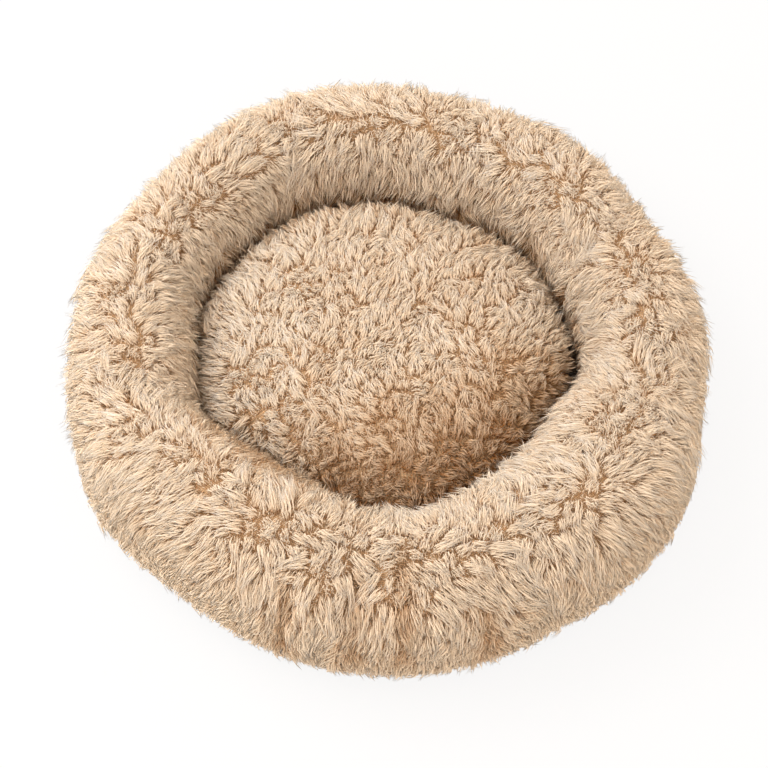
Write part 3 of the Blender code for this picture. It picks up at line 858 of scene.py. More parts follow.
def pile_tree():
    """Hairs over a combed surface. They gather in locks, whose tips draw together."""
    tree = GrowthTree("pile")
    hair = tree.add_socket("hair", "Object")
    given = {name: tree.add_socket(name) for name in (*PILE_INPUTS, "start", "end")}
    seed = tree.add_socket("seed", "Int")
    finish = tree.add_socket("finish", "Material")

    # The tufts, which lean each its own way
    tufts, _ = tree.strewn(seed + 2, Distance_Min=given["tuft_spacing"], Density_Max=MOST_TUFTS)
    tufts = tree.stored(
        tufts, tuft_stray=tree.scatter(1.0, 8) * given["tuft_stray"], tuft_tone=tree.chance(-0.5, 0.5, 9)
    )

    # The locks: their roots, bends and tips
    locks, normal = tree.strewn(seed, Distance_Min=given["lock_spacing"], Density_Max=MOST_LOCKS)
    locks = tree.stored(locks, lock_normal=normal)
    normal = tree.vector("lock_normal")
    tuft = tree.node("GeometryNodeSampleNearest", Geometry=tufts)
    lead = tree.sampled(tufts, tree.vector("tuft_stray"), tuft) * tree.number("unrest")
    comb = tree.vector("comb") + tree.scatter(0.24, 11) + lead
    comb = comb - normal * tree.sum("DOT_PRODUCT", comb, normal)
    strength = tree.sum("MINIMUM", tree.sum("LENGTH", comb), 1.0)
    comb = tree.sum("NORMALIZE", comb) * strength
    size = given["hair_length"] * tree.number("stretch") * tree.chance(0.84, 1.10, 12)
    tall = given["lift"] * tree.number("rise") * tree.chance(0.82, 1.12, 13) * strength.line(-0.35, 1.35)
    slant = given["lean"] * tree.chance(0.70, 1.18, 14)
    inward = (tree.sampled(tufts, tree.place(), tuft) - tree.place()) * given["tuft_pull"]
    locks = tree.stored(
        locks,
        lock_bend=(normal * 0.50 + comb * 0.14) * size,
        lock_reach=(normal * tall + comb * slant) * size + inward,
        lock_tone=tree.sampled(tufts, tree.number("tuft_tone"), tuft) * 0.7 + tree.chance(-0.5, 0.5, 15),
    )

    # The hairs' roots in this sector, each with its nearest lock
    roots, normal = tree.strewn(seed + 1, Density=given["density"] * tree.number("cover"))
    roots = tree.stored(roots, hair_normal=normal)
    place = tree.place()
    x, y, _ = tree.split(place)
    turn = tree.sum("FRACT", tree.sum("ARCTAN2", y, x) / math.tau + 1.0)
    within = tree.sum("LESS_THAN", turn, given["end"]) - tree.sum("LESS_THAN", turn, given["start"])
    roots = tree.without(roots, 1.0 - within)
    nearest = tree.node("GeometryNodeSampleNearest", Geometry=locks)

    # A few long pale hairs lie over the many short ones
    chosen = tree.sum("LESS_THAN", tree.chance(0.0, 1.0, 20), given["long_share"])
    roots = tree.stored(roots, hair_long=chosen)
    long = tree.number("hair_long")
    toward = tree.sampled(locks, tree.place(), nearest) - place
    drawn = given["pull"] * tree.chance(0.55, 1.2, 21) * long.line(1.1, 1.0)
    share = tree.chance(0.70, 1.04, 22) * long.line(0.42, 0.92)
    spread = given["spread"] * long.line(-0.45, 1.0)
    bend = tree.sampled(locks, tree.vector("lock_bend"), nearest) * share
    bend = bend + toward * (drawn * 0.45) + tree.scatter(1.0, 23) * (spread * 0.6)
    reach = tree.sampled(locks, tree.vector("lock_reach"), nearest) * share
    reach = reach + toward * drawn + tree.scatter(1.0, 24) * spread

    # Short upright hairs fill the partings between the locks
    chosen = tree.sum("LESS_THAN", tree.chance(0.0, 1.0, 28), given["under_share"])
    roots = tree.stored(roots, hair_under=chosen)
    under = tree.number("hair_under")
    short = tree.vector("hair_normal") * (given["under_height"] * tree.chance(0.75, 1.2, 29))
    short = short + tree.scatter(1.0, 30) * UNDER_STRAY
    # A hair's tone: its tuft's and lock's at random, the carrier's tone with its painted light and shade, and
    # a little paler on long hairs.
    shade = tree.sampled(locks, tree.number("lock_tone"), nearest).line(0.14, 0.62)
    shade = shade + tree.number("tone") * 0.5 + tree.chance(-0.04, 0.04, 25) + long.line(0.07, -0.02)
    roots = tree.stored(
        roots,
        hair_root=place,
        hair_bend=bend + (short * 0.5 - bend) * under,
        hair_reach=reach + (short - reach) * under,
        hair_tone=shade,
        hair_size=given["hair_radius"] * tree.chance(0.72, 1.18, 26),
        hair_twist=tree.chance(0.0, math.tau, 27),
    )

    # A spindle on each root, bent to its curve
    hairs = tree.copies(roots, hair)
    local = tree.place() - tree.vector("hair_root")
    hairs = tree.stored(hairs, hair_along=tree.split(local)[2], hair_side=local)
    along = tree.number("hair_along")
    across, over, _ = tree.split(tree.vector("hair_side"))
    reach, bend = tree.vector("hair_reach"), tree.vector("hair_bend")
    direction = tree.sum("NORMALIZE", reach)
    right = tree.sum("CROSS_PRODUCT", tree.vector("hair_normal"), direction)
    right = tree.sum("NORMALIZE", right + (0.01, 0.007, 0.003))
    up = tree.sum("CROSS_PRODUCT", direction, right)
    twist, girth = tree.number("hair_twist"), tree.number("hair_size")
    cosine, sine = tree.sum("COSINE", twist), tree.sum("SINE", twist)
    spot = tree.vector("hair_root") + bend * (along * (1.0 - along) * 2.0) + reach * (along * along)
    spot = spot + right * ((across * cosine - over * sine) * girth)
    spot = spot + up * ((across * sine + over * cosine) * girth)
    hairs = tree.moved(hairs, Position=tree.sum("MAXIMUM", spot, HAIR_LEAST))

    # Each hair's tone and how far along it lies make its place in the pattern
    tone = tree.sum("MULTIPLY_ADD", across, 0.006, tree.number("hair_tone"))
    tone = tree.node("ShaderNodeClamp", Value=tone, Min=0.01, Max=0.99)
    reached = tree.number("hair_under").line(-0.52, 0.98)
    chart = tree.node("ShaderNodeCombineXYZ", X=tone, Y=along.line(reached, 0.01))
    hairs = tree.stored(hairs, "FLOAT2", "CORNER", OFBake=chart)
    hairs = tree.node("GeometryNodeSetShadeSmooth", Geometry=hairs)
    return tree.finish(hairs, finish, "hair_*", "comb", "stretch", "tone", "rise", "cover", "unrest")


def set_inputs(modifier, **values):
    """Sets a tree's inputs by their names, through the sockets' identifiers."""
    for item in modifier.node_group.interface.items_tree:
        if item.in_out == "INPUT":
            plain = item.name.lower().replace(" ", "_")
            if plain in values:
                modifier[item.identifier] = values.pop(plain)
    if values:
        raise ValueError(f"the tree has no inputs {sorted(values)}")


def grown(name, carrier, group, **values):
    """A plain mesh of what the tree makes on the carrier."""
    maker = carrier.modifiers.new("grow", "NODES")
    maker.node_group = group
    set_inputs(maker, **values)
    graph = bpy.context.evaluated_depsgraph_get()
    mesh = bpy.data.meshes.new_from_object(carrier.evaluated_get(graph), depsgraph=graph)
    carrier.modifiers.remove(maker)
    mesh.name = name
    return new_piece(name, mesh)


def grow_pile(name, carrier, settings, sectors, body, slot):
    """Grows the pile on its carrier in sectors, each a piece of its own. The carrier is removed."""
    values = {key: getattr(settings, key) for key in (*PILE_INPUTS, "seed")}
    values["hair"] = hair_template()
    values["finish"] = pile_finish(name, settings)
    group = bpy.data.node_groups.get("pile") or pile_tree()
    for sector in range(sectors):
        span = {"start": sector / sectors, "end": (sector + 1) / sectors}
        dressed(grown(f"{name}_{sector + 1}", carrier, group, **values, **span), body, slot, None)
    remove(carrier, values["hair"])


def lines(name, *courses):
    """Open or closed lines in one curve object. Each course is its points and whether it closes."""
    curve = bpy.data.curves.new(name, "CURVE")
    curve.dimensions = "3D"
    for points, closed in courses:
        line = curve.splines.new("POLY")
        line.points.add(len(points) - 1)
        for spot, point in zip(line.points, points):
            spot.co = (*point, 1.0)
        line.use_cyclic_u = closed
    return new_piece(name, curve)


def row_of(name, template, pitch, finish, *courses):
    """A plain mesh of the template repeated along the courses."""
    guide = lines(name + "_guide", *courses)
    group = bpy.data.node_groups.get("row") or row_tree()
    made = grown(name, guide, group, shape=template, pitch=pitch, finish=finish)
    remove(guide)
    return made


def stitched(name, stitch, body, slot, *courses):
    """Separate stitches along the courses."""
    length, radius, pitch = stitch
    needle = stitch_template(length, radius)
    thread = bpy.data.materials.get("seam_thread") or thread_finish()
    dressed(row_of(name, needle, pitch, thread, *courses), body, slot, None)
    remove(needle)


def remove(*tools):
    for tool in tools:
        bpy.data.objects.remove(tool, do_unlink=True)


def circle_points(reach, height):
    """Points round a closed line, from its reach at each turn."""
    return [
        (radius * math.cos(turn), radius * math.sin(turn), height)
        for turn, radius in zip(turns(len(reach)), reach)
    ]


def rounded(wave):
    """The wave from -1 to 1 made fuller, for a section between an oval and an oblong."""
    return math.copysign(abs(wave) ** BAND_ROUNDING, wave)


def ring_band(name, reach, low, high, width, ripple):
    """A closed band round the bed: a rounded section that follows the reach, with its cloth gathered."""
    count = len(reach)
    points = np.zeros((count, BAND_SIDES, 3))
    middle, half = (low + high) / 2, (high - low) / 2
    for place, turn in enumerate(turns(count)):
        gather = ripple * math.sin(place * math.tau * GATHERS / count)
        for side in range(BAND_SIDES):
            angle = math.tau * side / BAND_SIDES
            across, up = rounded(math.cos(angle)) * width / 2, rounded(math.sin(angle)) * half
            radius = reach[place] - width / 2 + across * (1.0 - gather / width) - abs(gather)
            points[place, side] = (radius * math.cos(turn), radius * math.sin(turn), middle + up)
    return sheet(name, points, around=True)


# Materials


class Shade(Tree):
    """A material's tree, with its Principled shader."""

    def __init__(self, name, roughness, metallic=0.0):
        self.material = bpy.data.materials.new(name)
        self.material.use_nodes = True
        super().__init__(self.material.node_tree)
        self.shader = self.nodes["Principled BSDF"].inputs
        self.shader["Roughness"].default_value = roughness
        self.shader["Metallic"].default_value = metallic

    def colour(self, value):
        self.put(self.shader["Base Color"], value)

    def bump(self, height, strength, distance):
        made = self.node("ShaderNodeBump", Strength=strength, Distance=distance, Height=height)
        self.put(self.shader["Normal"], made)

    def use(self, group, outlet=0, **inputs):
        """What a shared effect gives for these inputs."""
        return self.node("ShaderNodeGroup", outlet, {"node_tree": group}, **inputs)

    def object_place(self):
        return self.node("ShaderNodeTexCoord", ("Object",))[0]

    def chart(self, name):
        return self.node("ShaderNodeUVMap", 0, {"uv_map": name})


def ramp(tree, value, *stops):
    """Colours by place from 0 to 1."""
    made = tree.nodes.new("ShaderNodeValToRGB")
    points = made.color_ramp.elements
    while len(points) < len(stops):
        points.new(0.5)
    for point, (place, colour) in zip(points, stops):
        point.position = place
        point.color = (*colour, 1.0)
    tree.put(made.inputs["Fac"], value)
    return Value(tree, made.outputs["Color"])


def blend(tree, share, first, second, kind="MIX"):
    settings = {"data_type": "RGBA", "blend_type": kind}
    return tree.node("ShaderNodeMix", 0, settings, Factor=share, A=first, B=second)


def speckles(tree, place, scale, detail):
    (spots,) = tree.node("ShaderNodeTexNoise", ("Fac",), Vector=place, Scale=scale, Detail=detail)
    return spots


def effect(name, build, inputs, outputs):
    """A shader node group with named inputs and outputs, which the function builds once."""
    group = bpy.data.node_groups.get(name)
    if group is None:
        group = bpy.data.node_groups.new(name, "ShaderNodeTree")
        for way, sockets in (("INPUT", inputs), ("OUTPUT", outputs)):
            for label, kind in sockets.items():
                group.interface.new_socket(label, in_out=way, socket_type="NodeSocket" + kind)
        tree = Tree(group)
        inlet = tree.nodes.new("NodeGroupInput").outputs
        outlet = tree.nodes.new("NodeGroupOutput").inputs
        tree.fill(outlet, *build(tree, *(Value(tree, inlet[label]) for label in inputs)))
    return group


def pile_colours(tree, chart, root, body, tip):
    """From brown roots to pale tips along the hair; the roots' brown is partly painted shade deep in the
    pile. By the tone, some hairs are warmer and others paler at random, and painted light and shade lighten
    and darken whole areas.
    """
    tone, along, _ = tree.split(chart)
    # Lower tones bring the roots' brown further up the hair, which carries the painted shade.
    along = along + tone.line(0.40, -0.25)
    smooth = {"interpolation_type": "SMOOTHSTEP"}
    rise = tree.node("ShaderNodeMapRange", 0, smooth, Value=along, From_Min=0.02, From_Max=0.42)
    fade = tree.node("ShaderNodeMapRange", Value=along, From_Min=0.60)
    colour = blend(tree, fade, blend(tree, rise, root, body), tip)
    # Low tones darken the hair towards brown: random, and painted shade where the tone fields are low.
    tone_and_shade = ramp(
        tree,
        tone,
        (0.0, (0.50, 0.30, 0.15)),
        (0.30, (0.85, 0.73, 0.59)),
        (0.60, (1.0, 1.0, 1.0)),
        (1.0, (1.0, 1.02, 1.05)),
    )
    held = rise.line(-0.30, 1.0) + fade * -0.35
    return (blend(tree, held, colour, tone_and_shade, "MULTIPLY"),)


def weave(tree, place, pitch):
    """A plain weave: its height, and how light a spot is between the threads."""
    across, along, _ = tree.split(place)
    across, along = across / pitch, along / pitch
    wefts, warps = (tree.sum("ABSOLUTE", tree.sum("SINE", way * math.pi)) for way in (across, along))
    cell = tree.sum("FLOOR", across) + tree.sum("FLOOR", along)
    over = tree.sum("MODULO", tree.sum("ABSOLUTE", cell), 2.0)
    return over * wefts + (1.0 - over) * warps, (wefts * warps).line(0.30, 0.72)


def dirty(tree, place, colour, share):
    """Soft patches where a cloth is a little darker and dustier."""
    patches = speckles(tree, place, 18.0, 4.0)
    return (blend(tree, patches * patches * share, colour, (0.22, 0.16, 0.11)),)


def woven():
    inputs = {"Place": "Vector", "Pitch": "Float"}
    return effect("woven", weave, inputs, {"Height": "Float", "Shade": "Float"})


def grubby():
    inputs = {"Place": "Vector", "Colour": "Color", "Amount": "Float"}
    return effect("grubby", dirty, inputs, {"Colour": "Color"})


def pile_finish(name, settings):
    """The soft, dull fibres of the pile."""
    shade = Shade(name, roughness=0.62)
    shade.shader["Specular IOR Level"].default_value = 0.0
    shade.shader["Diffuse Roughness"].default_value = 1.0
    inputs = {"Chart": "Vector", "Root": "Color", "Body": "Color", "Tip": "Color"}
    group = effect("pile colours", pile_colours, inputs, {"Colour": "Color"})
    colours = {"Root": settings.root_colour, "Body": settings.body_colour, "Tip": settings.tip_colour}
    shade.colour(shade.use(group, Chart=shade.chart("OFBake"), **colours))
    return shade.material


def knit_finish(name):
    """The knitted backing that the hairs grow from."""
    shade = Shade(name, roughness=0.95)
    height, light = shade.use(woven(), ("Height", "Shade"), Place=shade.chart("cloth"), Pitch=KNIT_PITCH)
    dark = tuple(part * 0.5 for part in BACKING_COLOUR)
    shade.colour(ramp(shade, light, (0.7, dark), (1.0, BACKING_COLOUR)))
    shade.bump(height, 0.6, 0.0005)
    return shade.material


def cloth_finish(name, on_object=False):
    """A plain woven cloth."""
    colour, pitch = WEAVES[name]
    shade = Shade(name, roughness=0.88)
    shade.shader["Sheen Weight"].default_value = 0.15
    place = shade.object_place() if on_object else shade.chart("cloth")
    height, light = shade.use(woven(), ("Height", "Shade"), Place=place, Pitch=pitch)
    threads = ramp(shade, light, (0.70, tuple(part * 0.55 for part in colour)), (1.0, colour))
    shade.colour(shade.use(grubby(), Place=shade.object_place(), Colour=threads, Amount=0.25))
    shade.bump(height, 0.7, pitch * 0.35)
    return shade.material


def speckled(name, roughness, scale, detail, low, high, stretch=None, metallic=0.0):
    """A shade between two colours by a fine noise, which it gives too. Each colour has its place."""
    shade = Shade(name, roughness, metallic)
    place = shade.object_place()
    if stretch:
        place = shade.node("ShaderNodeMapping", Vector=place, Scale=stretch)
    spots = speckles(shade, place, scale, detail)
    shade.colour(ramp(shade, spots, low, high))
    return shade, spots


def fibre_finish():
    """White loose fibre."""
    pale, white = (0.35, (0.74, 0.73, 0.70)), (0.65, (0.93, 0.93, 0.91))
    shade, tufts = speckled("fibre", 1.0, 90.0, 6.0, pale, white, (1.0, 1.0, 2.5))
    shade.bump(tufts, 0.8, 0.003)
    return shade.material


def thread_finish():
    """Twisted sewing thread."""
    dark = tuple(part * 0.65 for part in THREAD_COLOUR)
    shade, _ = speckled("seam_thread", 0.6, 2600.0, 1.0, (0.35, dark), (0.65, THREAD_COLOUR))
    shade.shader["Sheen Weight"].default_value = 0.3
    return shade.material


def rubber_finish():
    """The soft dots that keep the base from slipping."""
    low, high = (0.3, (0.075, 0.055, 0.042)), (0.7, (0.12, 0.09, 0.07))
    return speckled("rubber_dots", 0.55, 700.0, 3.0, low, high)[0].material


def teeth_finish():
    """Moulded nylon."""
    low, high = (0.3, (0.42, 0.30, 0.21)), (0.7, (0.58, 0.44, 0.32))
    return speckled("zip_teeth", 0.42, 900.0, 2.0, low, high)[0].material


def metal_finish():
    """Plated zinc, brushed and a little rubbed."""
    low, high = (0.3, (0.50, 0.46, 0.40)), (0.7, (0.72, 0.68, 0.61))
    shade, scratches = speckled("zip_metal", 0.34, 5200.0, 3.0, low, high, (0.15, 1.0, 1.0), 1.0)
    shade.put(shade.shader["Roughness"], scratches.line(0.30, 0.20))
    shade.bump(scratches, 0.15, 0.0001)
    return shade.material


# Operators


class BED_OT_stage(bpy.types.Operator):
    """Makes the floor, the plain surroundings, the lamps and the camera"""

    bl_idname = "bed.stage"
    bl_label = "Stage"

    def execute(self, context):
        settings = context.scene.bed_stage
        make_floor()
        make_world(settings.ambient)
        lamp("key", KEY_PLACE, settings.key)
        lamp("fill", FILL_PLACE, settings.fill)
        back = Vector((0.0, -math.cos(settings.elevation), math.sin(settings.elevation)))
        camera = new_piece("camera", bpy.data.cameras.new("camera"))
        camera.data.lens = settings.focal
        camera.location = CAMERA_TARGET + back * settings.distance
        camera.rotation_euler = (-back).to_track_quat("-Z", "Y").to_euler()
        context.scene.camera = camera
        context.scene.view_settings.view_transform = "Standard"
        return {"FINISHED"}


def lamp(name, place, power):
    light = bpy.data.lights.new(name, "AREA")
    light.size = LAMP_WIDTH
    light.energy = power
    light.color = LAMP_COLOUR
    made = new_piece(name, light)
    made.location = place
    made.rotation_euler = (LAMP_TARGET - place).to_track_quat("-Z", "Y").to_euler()


def seen_directly(tree):
    """1 where the camera, a reflection or clear material sees the surface, and 0 for light."""
    rays = ("Is Camera Ray", "Is Glossy Ray", "Is Transmission Ray")
    seen, glossy, clear = tree.node("ShaderNodeLightPath", rays)
    return tree.sum("MAXIMUM", tree.sum("MAXIMUM", seen, glossy), clear)


def mixed(tree, share, first, second):
    """One shader or the other, by this share."""
    made = tree.nodes.new("ShaderNodeMixShader")
    tree.fill(made.inputs, share, first, second)
    return Value(tree, made.outputs[0])


def make_floor():
    """A pale floor that keeps the bed's shadow, is white where it is seen, and is clear from below."""
    mesh = bpy.data.meshes.new("floor")
    signs = ((-1, -1), (1, -1), (1, 1), (-1, 1))
    mesh.from_pydata([(x * FLOOR_REACH, y * FLOOR_REACH, -FLOOR_GAP) for x, y in signs], [], [(0, 1, 2, 3)])
    floor = new_piece("floor", mesh)
    material = bpy.data.materials.new("floor")
    material.use_nodes = True
    material.node_tree.nodes.clear()
    tree = Tree(material.node_tree)
    plain = tree.node("ShaderNodeBsdfDiffuse", Color=(FLOOR_SHADE,) * 3)
    glow = tree.node("ShaderNodeEmission")
    surface = mixed(tree, seen_directly(tree) * FLOOR_SHADE, plain, glow)
    (below,) = tree.node("ShaderNodeNewGeometry", ("Backfacing",))
    surface = mixed(tree, below, surface, tree.node("ShaderNodeBsdfTransparent"))
    tree.put(tree.nodes.new("ShaderNodeOutputMaterial").inputs[0], surface)
    mesh.materials.append(material)


def make_world(ambient):
    """A plain room that lights the bed warmly and is white where it is seen."""
    world = bpy.data.worlds.new("surroundings")
    bpy.context.scene.world = world
    world.use_nodes = True
    tree = Tree(world.node_tree)
    background = tree.nodes["Background"].inputs
    seen = seen_directly(tree)
    tree.put(background["Color"], blend(tree, seen, ROOM_COLOUR, WHITE))
    tree.put(background["Strength"], tree.node("ShaderNodeMapRange", Value=seen, To_Min=ambient, To_Max=1.0))


class BED_OT_ring_inside(bpy.types.Operator):
    """Makes the ring's loose fibre filling and the thin cloth case round it"""

    bl_idname = "bed.ring_inside"
    bl_label = "Ring filling and case"

    def execute(self, context):
        inside = RingForm("bolster_fill", -math.pi, math.pi, FILLING_STEPS, around=True)
        fibre = inside.points(pressed_in(inside))
        for place in np.ndindex(fibre.shape[:2]):
            point = fibre[place]
            lump = LUMP * (1.0 + wander(point, 0.03, 9.0))
            fibre[place][2] -= lump if point[2] > LUMP_LEVEL else 0.0
        stuffing = sheet("ring_stuffing", fibre, around=True)
        dressed(stuffing, "bed", "fibre", fibre_finish(), "bolster_fill")

        shell = RingForm("bolster_liner", -math.pi, math.pi, CASE_STEPS, around=True)
        case = sheet("ring_case", shell.points(CASE_INSET + pressed_in(shell)), around=True)
        thicken(case, CASE_CLOTH)
        dressed(case, "bed", "case_cloth", cloth_finish("case_cloth"), "bolster_liner")
        return {"FINISHED"}


class BED_OT_ring_pile(bpy.types.Operator):
    """Makes the ring's backing and the long pile on it"""

    bl_idname = "bed.ring_pile"
    bl_label = "Ring pile"

    def execute(self, context):
        form = RingForm("bolster_cover", math.radians(RING_LOW), math.radians(RING_HIGH), RING_STEPS)
        hem = np.array([eased(math.degrees(angle), RING_LOW, -32) for angle in form.angles])
        inset = np.tile(HEM_DEPTH + (PILE_DEPTH - HEM_DEPTH) * hem, (RING_TURNS, 1))
        for place, step in np.ndindex(inset.shape):
            inset[place, step] += fold_depth(form.turns[place], math.degrees(form.angles[step]))
        points = form.points(inset)
        carrier = sheet("ring_carrier", points)
        comb_ring(form, carrier.data, points)
        backing = sheet("ring_backing", points)
        thicken(backing, BACKING_CLOTH)
        dressed(backing, "bed", "ring_fur", knit_finish("ring_backing"), "bolster_cover")
        grow_pile("ring_pile", carrier, context.scene.bed_ring, SECTORS, "bed", "ring_fur")
        return {"FINISHED"}


class BED_OT_cushion_pile(bpy.types.Operator):
    """Makes the cushion's filling, its backing and the shorter pile on it"""

    bl_idname = "bed.cushion_pile"
    bl_label = "Cushion pile and filling"

    def execute(self, context):
        quarter = math.pi / 2
        inside = CushionForm("cushion_fill", -quarter, quarter, CUSHION_FILLING_STEPS)
        stuffing = sheet("cushion_stuffing", inside.points(), start_pole=True, end_pole=True)
        fibre = bpy.data.materials.get("fibre") or fibre_finish()
        dressed(stuffing, "cushion", "fibre", fibre, "cushion_fill")

        form = CushionForm("cushion_cover", math.radians(CUSHION_LOW), quarter, CUSHION_STEPS)
        points = form.points(CUSHION_PILE_DEPTH)
        carrier = sheet("cushion_carrier", points, end_pole=True)
        comb_cushion(carrier.data)
        backing = sheet("cushion_backing", points, end_pole=True)
        thicken(backing, BACKING_CLOTH)
        dressed(backing, "cushion", "cushion_fur", knit_finish("cushion_backing"), "cushion_cover")
        settings = context.scene.bed_cushion
        grow_pile("cushion_pile", carrier, settings, CUSHION_SECTORS, "cushion", "cushion_fur")
        return {"FINISHED"}


class BED_OT_cushion_underside(bpy.types.Operator):
    """Makes the cloth under the cushion, its piping and the stitches of its seam"""

    bl_idname = "bed.cushion_underside"
    bl_label = "Cushion underside and piping"

    def execute(self, context):
        form = CushionForm("cushion_base", -math.pi / 2, math.radians(UNDERSIDE_HIGH), UNDERSIDE_STEPS)
        points = form.points()
        for place in np.ndindex(points.shape[:2]):
            point = points[place]
            radius = math.hypot(point[0], point[1])
            turn = math.atan2(point[1], point[0])
            wave = math.sin(turn * CUSHION_GATHERS + 3 * wander(point, 0.05, 10.0))
            gather = eased(radius, 0.08, 0.165) * wave
            points[place][2] += PUCKER * (1.0 + gather * 0.8 + 0.6 * wander(point, 0.04, 11.0))
        under = sheet("cushion_underside", points, start_pole=True)
        thicken(under, CASE_CLOTH)
        dressed(under, "cushion", "case_cloth", cloth_finish("cushion_underside"), "cushion_base")

        low, high = (corner.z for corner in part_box("cushion_piping"))
        rim = radii("cushion_piping", (low + high) / 2, BAND_TURNS)
        piping = ring_band("cushion_edging", rim, low, high, PIPING_WIDTH, PIPING_RIPPLE)
        dressed(piping, "cushion", "binding", cloth_finish("binding"), "cushion_piping")
        course = circle_points(rim + CUSHION_SEAM[0], low + CUSHION_SEAM[1])
        stitched("cushion_stitches", CUSHION_STITCH, "cushion", "binding", (course, True))
        return {"FINISHED"}


class BED_OT_base(bpy.types.Operator):
    """Makes the base cloth with its non-slip dots, and the binding with its stitches"""

    bl_idname = "bed.base"
    bl_label = "Base cloth and binding"

    def execute(self, context):
        rim = radii("base_panel", BASE_PROBE, RING_TURNS)
        panel = surface_of("base_panel")
        probe = UP * (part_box("base_panel")[1].z - BASE_PROBE)
        slot_x = panel.ray_cast(probe, Vector((1, 0, 0)))[0].x
        slot_y = panel.ray_cast(probe, Vector((0, 1, 0)))[0].y
        points = np.zeros((RING_TURNS, BASE_STEPS, 3))
        for place, turn in enumerate(turns(RING_TURNS)):
            out = np.array([math.cos(turn), math.sin(turn), 0.0])
            inner = slot_edge(turn, slot_x, slot_y)
            for step in range(BASE_STEPS):
                share = step / (BASE_STEPS - 1)
                spot = inner * (1 - share) + out * rim[place] * share
                hit = panel.ray_cast(Vector((spot[0], spot[1], -FAR)), UP)[0]
                points[place, step] = (spot[0], spot[1], hit.z if hit else np.nan)
        points[:, :, 2] = smoothed(filled(points[:, :, 2]), 2)
        for place in np.ndindex(points.shape[:2]):
            ruck = BASE_RUCK * (1.0 + wander(points[place], 0.022, 12.0))
            points[place][2] = max(points[place][2], DOT_HEIGHT + BASE_CLEAR) + ruck
        cloth = sheet("base_cloth", points)
        carrier = sheet("base_carrier", points)
        thicken(cloth, BASE_CLOTH)
        dressed(cloth, "bed", "base_cloth", cloth_finish("base_cloth"), "base_panel")
        reach = float(rim.mean())

        dot = dot_template(DOT_RADIUS, DOT_HEIGHT)
        sizes = {"reach": reach, "spacing": DOT_SPACING}
        sizes |= {"clear_x": slot_x + DOT_MARGIN, "clear_y": slot_y + DOT_MARGIN}
        dots = grown("base_dots", carrier, dots_tree(), shape=dot, finish=rubber_finish(), **sizes)
        dressed(dots, "bed", "base_cloth", None)
        remove(carrier, dot)

        low, high = (corner.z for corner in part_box("base_binding"))
        edge = radii("base_binding", (low + high) / 2, BAND_TURNS)
        binding = ring_band("base_edging", edge, low, high, BINDING_WIDTH, BINDING_RIPPLE)
        trim = bpy.data.materials.get("binding") or cloth_finish("binding")
        dressed(binding, "bed", "binding", trim, "base_binding")
        course = circle_points(edge + BASE_SEAM[0], low + BASE_SEAM[1])
        stitched("base_stitches", BASE_STITCH, "bed", "binding", (course, True))
        return {"FINISHED"}


def filled(table):
    """The table with each gap filled from the place before it, or after it where there is none."""
    for ahead in (table, table[:, ::-1]):
        for step in range(1, table.shape[1]):
            ahead[:, step] = np.where(np.isnan(ahead[:, step]), ahead[:, step - 1], ahead[:, step])
    return table


def slot_edge(turn, half_long, half_wide):
    """The point of the zip's oblong slot that lies in this direction."""
    across, up = math.cos(turn), math.sin(turn)
    scale = 1.0 / max(abs(across) / half_long, abs(up) / half_wide)
    return np.array([across * scale, up * scale, 0.0])


class BED_OT_sleeping_floor(bpy.types.Operator):
    """Makes the cloth floor that the cushion lies on"""

    bl_idname = "bed.sleeping_floor"
    bl_label = "Sleeping floor"

    def execute(self, context):
        low, high = (corner.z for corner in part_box("floor_panel"))
        rim = radii("floor_panel", (low + high) / 2, CUSHION_TURNS)
        points = np.zeros((CUSHION_TURNS, FLOOR_STEPS, 3))
        for place, turn in enumerate(turns(CUSHION_TURNS)):
            for step in range(FLOOR_STEPS):
                radius = rim[place] * (1 - step / (FLOOR_STEPS - 1))
                point = (radius * math.cos(turn), radius * math.sin(turn), high)
                ruck = FLOOR_RUCK * (1.0 + wander(point, 0.03, 13.0))
                points[place, step] = (point[0], point[1], high - ruck)
        cloth = sheet("sleeping_floor", points, end_pole=True)
        thicken(cloth, FLOOR_CLOTH)
        dressed(cloth, "bed", "case_cloth", cloth_finish("sleeping_floor"), "floor_panel")
        return {"FINISHED"}


class BED_OT_zip(bpy.types.Operator):
    """Makes the zip's tapes, their stitches, its teeth and its metal pieces"""

    bl_idname = "bed.zip"
    bl_label = "Zip"

    def execute(self, context):
        cloth = cloth_finish("zip_tape", on_object=True)
        tooth, finish = tooth_template(), teeth_finish()
        courses = []
        for side, end in ((1, "back"), (-1, "front")):
            low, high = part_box(f"zip_tape_{end}")
            strip = tape_strip(f"zip_tape_cloth_{end}", low, high, side)
            dressed(strip, "bed", "zip_tape", cloth, f"zip_tape_{end}")
            for away in TAPE_STITCH_LINES:
                near = (low.y if side > 0 else high.y) + side * away
                ends = (low.x + TAPE_STITCH_END, high.x - TAPE_STITCH_END)
                courses.append(([(east, near, low.z - TAPE_STITCH_DROP) for east in ends], False))

            low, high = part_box(f"zip_coil_{end}")
            middle = (low.y + high.y) / 2 - side * TOOTH_SHIFT
            level = (low.z + high.z) / 2
            start = low.x + TOOTH[0] / 2 + (TOOTH_PITCH / 2 if side > 0 else 0.0)
            course = [(start, middle, level), (high.x - TOOTH[0] / 2, middle, level)]
            teeth = row_of(f"zip_teeth_{end}", tooth, TOOTH_PITCH, finish, (course, False))
            dressed(teeth, "bed", "zip_row", None, f"zip_coil_{end}")
        stitched("zip_stitches", TAPE_STITCH, "bed", "zip_tape", *courses)
        remove(tooth)

        metal = metal_finish()
        bodies = {"stop_left": "bed", "stop_right": "bed", "slider": "slider", "pull": "pull"}
        for part, body in bodies.items():
            dressed(rounded_copy(part), body, "zip_metal", metal, f"zip_{part}")
        return {"FINISHED"}


